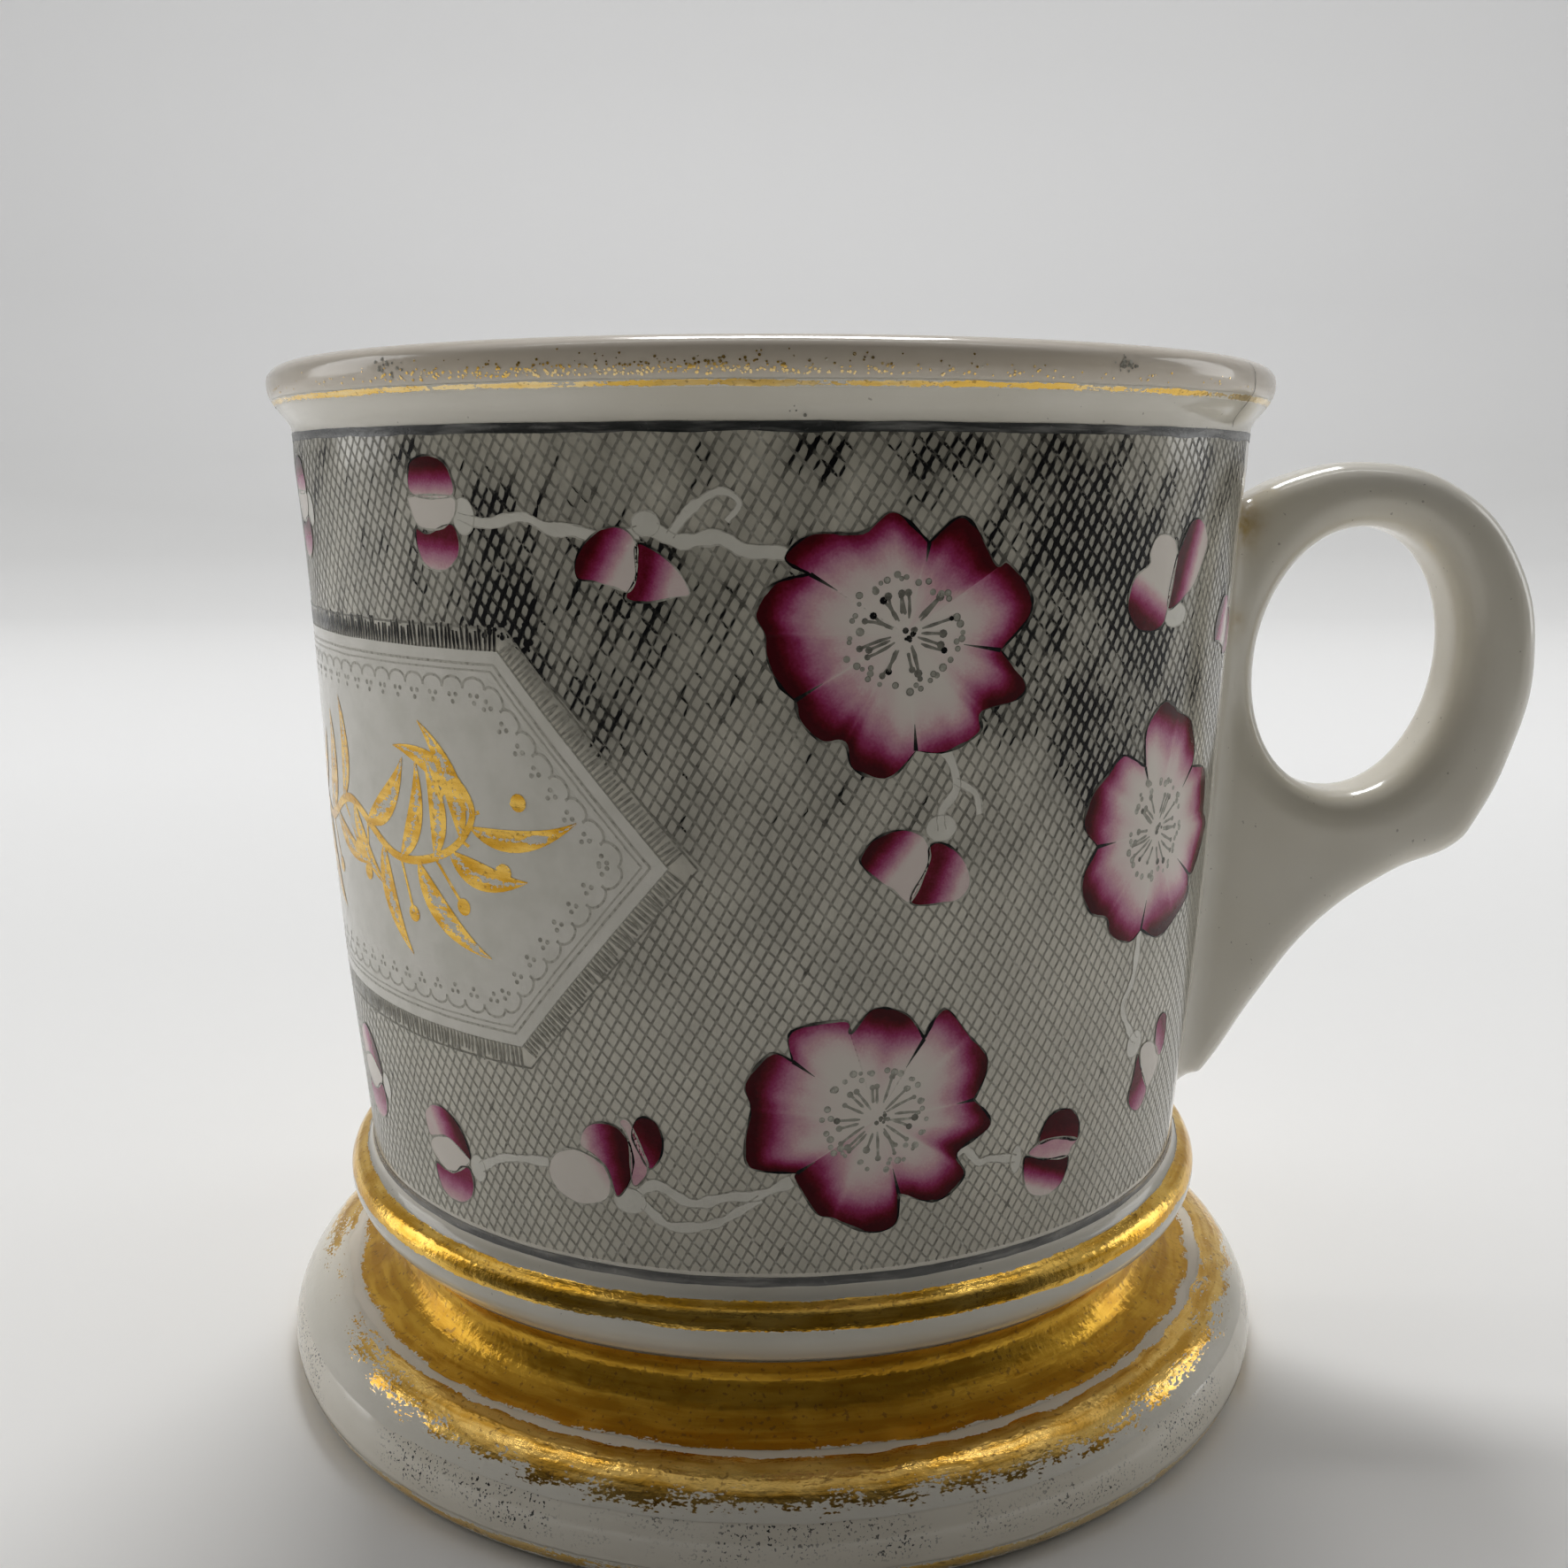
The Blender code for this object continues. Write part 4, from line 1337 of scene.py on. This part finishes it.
# A bud is its angle, its height, its calyx as centre and half-sizes, and its petals. A petal is
# its outline and then where its paint is darkest, where it is palest, and those two amounts.
BUDS = {
    "a": (-35.0, 80.0, (2.7, -0.2, 1.0, 1.35), [
        ([(-2.6, 0.6), (-2.2, 1.2), (1.7, 1.2), (2.1, 0.3), (1.4, -0.7), (0.0, -1.2), (-1.9, -0.9)],
         (0.0, 0.0), (1.0, 0.0), 0.0, 0.0),
        ([(-2.1, 1.3), (-2.3, 3.2), (-1.6, 3.9), (-0.3, 4.1), (1.05, 3.8), (1.8, 2.9), (1.8, 1.2)],
         (0.0, 4.0), (0.0, 1.2), 1.0, 0.1),
        ([(-2.1, -1.2), (-1.0, -1.5), (1.4, -0.8), (2.1, -1.7), (2.0, -2.9), (1.2, -3.8), (0.0, -4.2),
          (-1.5, -3.8), (-2.1, -2.7)], (0.3, -1.0), (0.0, -4.2), 0.85, 0.1),
    ]),
    "b": (-13.5, 77.0, (1.25, 2.4, 1.0, 0.9), [
        ([(-3.8, -1.4), (-3.9, -0.2), (-3.2, 1.0), (-1.9, 2.0), (-0.4, 2.1), (0.5, 1.2), (0.55, 0.0),
          (0.4, -1.5), (-0.1, -2.3), (-1.1, -2.0), (-2.6, -1.6)], (-3.4, 0.9), (-0.6, -0.7), 1.0, 0.05),
        ([(0.55, 0.85), (1.4, 0.85), (3.2, -0.5), (4.2, -2.3), (3.2, -2.6), (1.2, -3.0), (-0.3, -2.7),
          (0.5, -1.2)], (0.7, -1.0), (3.0, -1.8), 0.82, 0.1),
    ]),
    "c": (46.2, 75.0, (1.4, -3.0, 1.7, 0.95), [
        ([(-3.0, 1.1), (-3.05, 1.9), (-2.5, 2.95), (-1.6, 3.3), (-0.2, 3.05), (0.6, 2.2), (0.7, 0.9),
          (0.05, -2.35), (-0.6, -3.7), (-2.2, -4.05), (-3.9, -3.7), (-5.0, -2.5), (-5.2, -1.3),
          (-4.6, 0.2)], (-3.9, -3.4), (-2.3, -0.4), 0.95, 0.0),
        ([(0.05, -2.45), (0.5, 0.9), (1.4, 2.6), (2.4, 4.0), (3.4, 4.4), (4.7, 4.1), (5.8, 3.0),
          (5.9, 2.0), (4.3, -0.5), (3.0, -1.4)], (1.6, 2.2), (4.4, 1.2), 0.95, 0.05),
    ]),
    "d": (14.3, 55.5, (2.0, 2.05, 1.2, 1.0), [
        ([(-4.05, -0.25), (-3.95, 0.45), (-3.2, 1.4), (-1.9, 2.0), (-0.6, 2.05), (0.55, 1.6),
          (1.1, 0.6), (1.05, -0.55), (-0.25, -3.35), (-1.6, -2.35), (-3.0, -1.4)],
         (-3.3, 1.3), (-0.9, -0.6), 1.0, 0.05),
        ([(1.05, 0.6), (1.7, 1.0), (2.7, 0.65), (3.7, -0.25), (4.35, -1.55), (4.4, -2.6), (3.8, -3.35),
          (2.7, -3.6), (-0.25, -3.4), (1.0, -0.7)], (1.3, -0.6), (4.0, -1.6), 0.85, 0.1),
    ]),
    "e": (-42.0, 27.8, (3.7, -0.2, 0.9, 1.2), [
        ([(-2.4, 0.75), (0.05, 1.6), (1.7, 0.9), (2.7, 0.1), (0.6, -1.4), (-0.9, -1.45), (-2.6, -0.4)],
         (0.0, 0.0), (1.0, 0.0), 0.0, 0.0),
        ([(-3.05, 2.7), (-2.4, 3.6), (-1.1, 4.2), (0.4, 4.05), (1.7, 3.2), (2.55, 1.9), (2.85, 0.4),
          (1.7, 1.0), (0.0, 1.6), (-1.6, 1.3), (-2.7, 1.1)], (2.0, 3.1), (-1.2, 1.5), 0.92, 0.1),
        ([(-2.25, -1.4), (-0.9, -1.6), (0.55, -1.4), (1.55, -0.65), (2.55, -0.55), (2.95, -1.6),
          (2.55, -3.0), (1.2, -4.0), (-0.6, -4.1), (-1.9, -3.3)], (0.3, -0.9), (0.0, -4.1), 0.72, 0.15),
    ]),
    "f": (-17.5, 30.0, (1.0, -2.2, 1.4, 1.1), [
        ([(-5.9, 0.4), (-4.6, 1.4), (-3.1, 1.5), (-1.2, 0.6), (-0.6, -1.0), (-1.2, -2.4), (-3.2, -3.1),
          (-5.4, -2.4), (-6.2, -1.0)], (-1.0, 1.4), (-2.4, 0.4), 0.25, 0.0),
        ([(0.5, 4.5), (1.3, 4.6), (2.2, 2.6), (2.7, 1.0), (2.2, -0.3), (1.3, -0.6), (1.2, 3.0)],
         (2.0, 4.0), (1.4, 0.0), 0.15, 0.3),
        ([(-3.05, 2.1), (-2.55, 3.5), (-1.25, 4.2), (0.25, 4.0), (1.2, 2.9), (1.5, 1.2), (1.1, -0.4),
          (0.4, -1.6), (-0.2, -1.8), (-0.75, 0.25), (-1.9, 1.4)], (1.2, 2.2), (-2.6, 1.6), 1.0, 0.1),
        ([(1.8, 4.6), (2.5, 5.1), (3.5, 4.7), (4.0, 3.5), (3.9, 2.2), (3.4, 1.2), (2.8, 0.8),
          (2.1, 1.9), (1.5, 3.4)], (3.9, 3.7), (1.0, 1.4), 1.0, 0.4),
    ]),
    "g": (34.0, 29.5, (-3.9, 0.2, 0.55, 1.2), [
        ([(-2.55, 0.3), (-1.6, 1.1), (0.05, 1.2), (2.85, 0.4), (2.4, -0.2), (1.9, -0.9), (0.05, -0.7)],
         (0.0, 1.0), (0.0, -1.0), 0.3, 0.1),
        ([(-1.6, 1.1), (-1.4, 2.25), (-0.75, 3.2), (0.4, 3.55), (1.9, 3.2), (2.85, 2.05), (3.1, 0.9),
          (2.8, 0.3), (1.4, 0.8), (0.0, 1.1)], (0.8, 3.0), (0.4, -1.4), 1.0, 0.6),
        ([(-3.05, -0.05), (-2.5, 0.1), (-1.25, -0.4), (0.05, -0.65), (1.9, -0.9), (2.1, -1.5),
          (1.9, -2.5), (1.3, -3.4), (0.0, -3.85), (-1.6, -3.5), (-2.7, -2.35)],
         (0.6, -1.0), (-0.4, -3.4), 1.0, 0.05),
    ]),
    "h": (52.0, 34.0, (-3.2, 2.4, 1.2, 1.2), [
        ([(-1.9, 1.4), (-0.6, 1.9), (1.2, 1.0), (2.4, -0.4), (2.0, -1.6), (0.6, -2.6), (-0.9, -1.0)],
         (0.0, 0.0), (1.0, 0.0), 0.0, 0.0),
        ([(-2.3, 1.2), (-1.6, 0.0), (-0.3, -1.7), (0.45, -2.85), (0.0, -3.85), (-0.9, -4.3),
          (-2.25, -3.7), (-3.05, -2.5), (-2.6, -0.7)], (-2.2, -1.0), (0.0, -3.4), 0.85, 0.3),
        ([(0.9, 2.9), (1.7, 3.7), (2.85, 3.4), (3.35, 1.9), (3.2, 0.45), (2.35, -0.25), (1.2, 0.9)],
         (3.2, 2.6), (0.9, 0.6), 0.8, 0.2),
    ]),
}

# Further buds near the edges of a side, each drawn as one of those above.
REPEATED_BUDS = (("a", -66.0, 80.2), ("e", -61.6, 31.0), ("b", 66.0, 70.7))

# Reserved branches, as angle and height, and how wide each starts and ends.
STEMS = [
    ([(-32.0, 79.8), (-28.5, 79.3), (-24.4, 79.8), (-21.5, 79.0), (-19.0, 78.9), (-16.0, 78.4),
      (-12.5, 78.8)], 0.7, 0.9),
    ([(-11.0, 79.0), (-8.5, 78.2), (-5.0, 78.5), (-2.5, 77.6), (1.0, 77.4), (3.5, 76.4)], 1.1, 0.8),
    ([(-9.5, 78.6), (-7.5, 80.4), (-4.8, 81.6), (-3.0, 80.8), (-4.2, 79.6)], 0.7, 0.4),
    ([(16.2, 64.0), (17.7, 62.7), (18.5, 60.5), (17.0, 58.8), (17.1, 57.4)], 0.8, 0.7),
    ([(18.4, 61.0), (20.6, 60.0), (21.2, 58.4)], 0.6, 0.4),
    ([(-15.0, 28.6), (-12.8, 29.4), (-9.0, 28.1), (-5.0, 28.8), (-1.7, 29.0), (2.0, 30.2)], 0.9, 0.8),
    ([(-14.5, 27.6), (-11.5, 26.0), (-6.8, 26.4), (-3.8, 27.6), (-1.4, 28.7)], 0.8, 0.7),
    ([(19.5, 30.4), (21.5, 31.6), (23.5, 30.2), (25.0, 30.3), (28.6, 29.8)], 0.8, 0.6),
    ([(46.2, 47.4), (46.0, 46.4), (45.6, 42.5), (44.0, 40.3), (46.4, 37.6), (48.0, 36.6)], 0.8, 0.7),
    ([(-36.4, 27.8), (-33.0, 29.2), (-30.0, 29.7), (-26.0, 30.0)], 0.7, 0.7),
]


class Bouquet:
    """One side's flowers: petals, the white of the stems, and the ink drawn over them."""

    def __init__(self, middle, mirrored, seed):
        self.paint, self.white = Drawing(middle, mirrored), Drawing(middle, mirrored)
        self.ink, self.under_ink = Drawing(middle, mirrored), Drawing(middle, mirrored)
        self.chance = random.Random(seed)
        self.seed = float(seed)

    def outline(self, drawing, line, low, high, inks):
        """A line that swells and thins, with its inks broken up."""
        widths, uneven = [], []
        for ink_here, (x, y) in zip(inks, line):
            widths.append(low + (high - low) * max(0.0, 0.5 + blotch(x, y, 1.4, self.seed)))
            uneven.append(min(max(ink_here * (1.0 + 1.2 * blotch(x, y, 2.5, 4.0)), 0.0), 1.0))
        drawing.ribbon(line, widths, uneven)

    def flower(self, angle, height, tone, petals):
        """Petals painted round a bare heart, and in ink their outline, their clefts and stamens."""
        centre_x = math.radians(angle) * ROLL_RADIUS
        line, along = [], []
        for petal, following in sides(petals):
            curve = curve_through(petal + [following[0]], 7)[:-1]
            line += [(centre_x + x, height + y) for x, y in curve]
            along += [k / len(curve) for k in range(len(curve))]
        line, along = line[::-1], along[::-1]

        def paint(x, y, t, k):
            px, py = line[k]
            turn = math.atan2(py - height, px - centre_x)
            edge = (1.0 - t) * math.dist((px, py), (centre_x, height))
            petal_wide = math.sin(math.pi * along[k]) ** 0.6
            lobe = 0.55 * petal_wide + 0.45 * abs(math.sin(math.tau * along[k])) ** 0.7
            where = Vector((math.cos(turn) * 1.1, math.sin(turn) * 1.1, self.seed + 3.0 * tone))
            uneven = noise.fractal(where, 1.0, 2.0, 2)
            band = (1.5 + 1.3 * lobe) * (1.0 + 0.7 * uneven)
            strong = min(0.58 + 0.55 * lobe + 0.7 * uneven, 1.1)
            amount = strong * math.exp(-(edge / max(band, 0.8)) ** 1.5)
            return amount, (turn * 6.0, math.dist((x, y), (centre_x, height)) * 0.7, tone * 10.0)

        self.paint.patch(line, 16, paint, (centre_x, height))
        inks = [0.95 if min(a, 1.0 - a) < 0.16 else 0.6 for a in along]
        self.outline(self.ink, line + line[:1], 0.03, 0.26, inks + inks[:1])
        for petal in petals:
            x, y = petal[0]
            reach = self.chance.uniform(0.62, 0.8)
            bend = self.chance.uniform(-0.4, 0.4)
            path = [
                (centre_x + x * f + bend * (1.0 - f) * 2.0, height + y * f)
                for f in (1.0, (1.0 + reach) / 2.0, reach)
            ]
            self.ink.ribbon(path, [0.34, 0.2, 0.05], [0.9, 0.7, 0.3])
        self.stamens(centre_x, height, tone)

    def stamens(self, x, y, tone):
        """Bent grey threads round a dark eye, each with its head, and more heads past them."""
        count = 21
        for k in range(count):
            turn = math.tau * (k + self.chance.uniform(-0.35, 0.35)) / count
            reach = self.chance.uniform(2.6, 3.6)
            curl = self.chance.uniform(-0.3, 0.3)
            path = [
                (x + r * math.cos(turn + curl * r / reach), y + r * math.sin(turn + curl * r / reach))
                for r in (self.chance.uniform(0.9, 1.5), reach * 0.55, reach * 0.8, reach)
            ]
            self.ink.ribbon(path, [0.12, 0.26, 0.2, 0.24], [tone * s for s in (0.25, 0.6, 0.4, 0.7)])
            black = self.chance.random() < 0.3
            self.ink.dot(*path[-1], self.chance.uniform(0.18, 0.32), tone * (1.5 if black else 0.6))
            for _ in range(2):
                far = self.chance.gauss(3.95, 0.25)
                spot = turn + self.chance.uniform(-0.2, 0.2)
                where = (x + far * math.cos(spot), y + far * math.sin(spot))
                size = self.chance.uniform(0.14, 0.26)
                self.ink.dot(*where, size, 0.2 * tone)
                self.ring(*where, size, self.chance.uniform(0.2, 0.6) * tone)
        for _ in range(9):
            eye = (x + 0.3 + self.chance.gauss(0.0, 0.25), y + self.chance.gauss(0.0, 0.25))
            self.ink.dot(*eye, self.chance.uniform(0.12, 0.24), tone * self.chance.uniform(0.4, 1.5))

    def ring(self, x, y, radius, strength):
        turns = [math.tau * k / 10 for k in range(11)]
        path = [(x + radius * math.cos(t), y + radius * math.sin(t)) for t in turns]
        self.ink.line(path, 0.4 * radius, strength)

    def bud(self, angle, height, calyx, petals):
        """A white calyx under painted petals."""
        centre_x = math.radians(angle) * ROLL_RADIUS
        x, y, half_x, half_y = calyx
        turns = [math.tau * k / 24 for k in range(24)]
        ball = [
            (centre_x + x + half_x * math.cos(t), height + y + half_y * math.sin(t)) for t in turns
        ]
        self.white.patch(ball, 3, lambda *_: (0.0,))
        self.outline(self.under_ink, ball + ball[:1], 0.05, 0.14, [0.03] * 25)
        for outline, dark, pale, most, least in petals:
            line = closed_curve([(centre_x + px, height + py) for px, py in outline])
            span = math.dist(dark, pale)
            way = ((pale[0] - dark[0]) / span, (pale[1] - dark[1]) / span)

            def paint(px, py, t, k):
                far = (px - centre_x - dark[0]) * way[0] + (py - height - dark[1]) * way[1]
                return (most + (least - most) * min(max(1.25 * far / span - 0.25, 0.0), 1.0),)

            self.paint.patch(line, 8, paint)
            inks = [0.02 + 0.8 * paint(*p, 1.0, 0)[0] ** 1.5 for p in line]
            self.outline(self.ink, line + line[:1], 0.05, 0.2, inks + inks[:1])

    def stem(self, points, start, end):
        """A white stem with an ink line down each side."""
        path = curve_through([(math.radians(a) * ROLL_RADIUS, z) for a, z in points], 8)
        widths = []
        for k, (x, y) in enumerate(path):
            swell = 1.0 + 0.5 * blotch(x, y, 1.6, 6.0)
            widths.append((start + (end - start) * k / (len(path) - 1)) * swell)
        self.white.ribbon(path, widths, [0.0] * len(path))
        for side in (0.5, -0.5):
            edge = []
            for k, (x, y) in enumerate(path):
                (xa, ya), (xb, yb) = neighbours(path, k)
                length = math.dist((xa, ya), (xb, yb))
                off = side * widths[k] / length
                edge.append((x - (yb - ya) * off, y + (xb - xa) * off))
            self.outline(self.under_ink, edge, 0.05, 0.13, [0.04] * len(edge))


# The gold's flecks start just above the rim's gold line.
FLECKS_FROM = 89.2
# Where the brown smudges are: x, height, how far they spread and how many specks they have.
SMUDGES = ((-27.0, 90.3, 0.7, 20), (24.5, 90.4, 0.5, 26), (2.5, 86.6, 1.2, 6))
CRACK = ((41.5, 91.4), (41.7, 90.2), (42.3, 89.0), (42.2, 87.6), (42.6, 86.5))


def age_marks():
    """Gold flecks above the rim line, and on one side brown smudges and a hairline crack."""
    chance = random.Random(21)
    flecks, marks = Drawing(NEAR), Drawing(NEAR)
    for _ in range(420):
        x, y = chance.gauss(-9.0, 12.0), FLECKS_FROM + abs(chance.gauss(0.0, 0.55))
        flecks.dot(x, y, chance.uniform(0.04, 0.12), 0.5, sides=6)
    for _ in range(260):
        x, y = chance.uniform(-4.0 * QUARTER, 0.0), FLECKS_FROM + abs(chance.gauss(0.0, 0.35))
        flecks.dot(x, y, chance.uniform(0.04, 0.1), 0.5, sides=6)
    for middle_x, middle_y, spread, count in SMUDGES:
        for _ in range(count):
            x = middle_x + chance.gauss(0.0, spread)
            y = middle_y + chance.gauss(0.0, spread * 0.5)
            marks.dot(x, y, chance.uniform(0.05, 0.16), chance.uniform(0.0, 0.3), sides=6)
    marks.line(curve_through(CRACK, 6), 0.09, 0.45)
    flecks.wrapped("rim_flecks", line_gold, MARK_LIFT, "gilding", key="across")
    marks.wrapped("age_marks", print_ink, MARK_LIFT, "transfer_print")


age_marks()
petals_painted = petal_paint("petal_paint")
reserved_white = plain_glaze("reserved_white", (0.76, 0.74, 0.66), (0.7, 0.68, 0.6))
for middle, mirrored, side, seed in ((NEAR, False, "near", 2), (FAR, True, "far", 9)):
    bouquet = Bouquet(middle, mirrored, seed)
    for stem in STEMS:
        bouquet.stem(*stem)
    for flower in FLOWERS.values():
        bouquet.flower(*flower)
    for bud in BUDS.values():
        bouquet.bud(*bud)
    for kind, angle, height in REPEATED_BUDS:
        bouquet.bud(angle, height, *BUDS[kind][2:])
    for drawing, name, paint, lift, key in (
        (bouquet.white, "reserved_stems", reserved_white, STEM_LIFT, "strength"),
        (bouquet.under_ink, "stem_ink", print_ink, STEM_INK_LIFT, "strength"),
        (bouquet.paint, "painted_petals", petals_painted, PETAL_LIFT, "reach"),
        (bouquet.ink, "flower_ink", print_ink, FLOWER_INK_LIFT, "strength"),
    ):
        drawing.wrapped(f"{name}_{side}", paint, lift, "transfer_print", key)
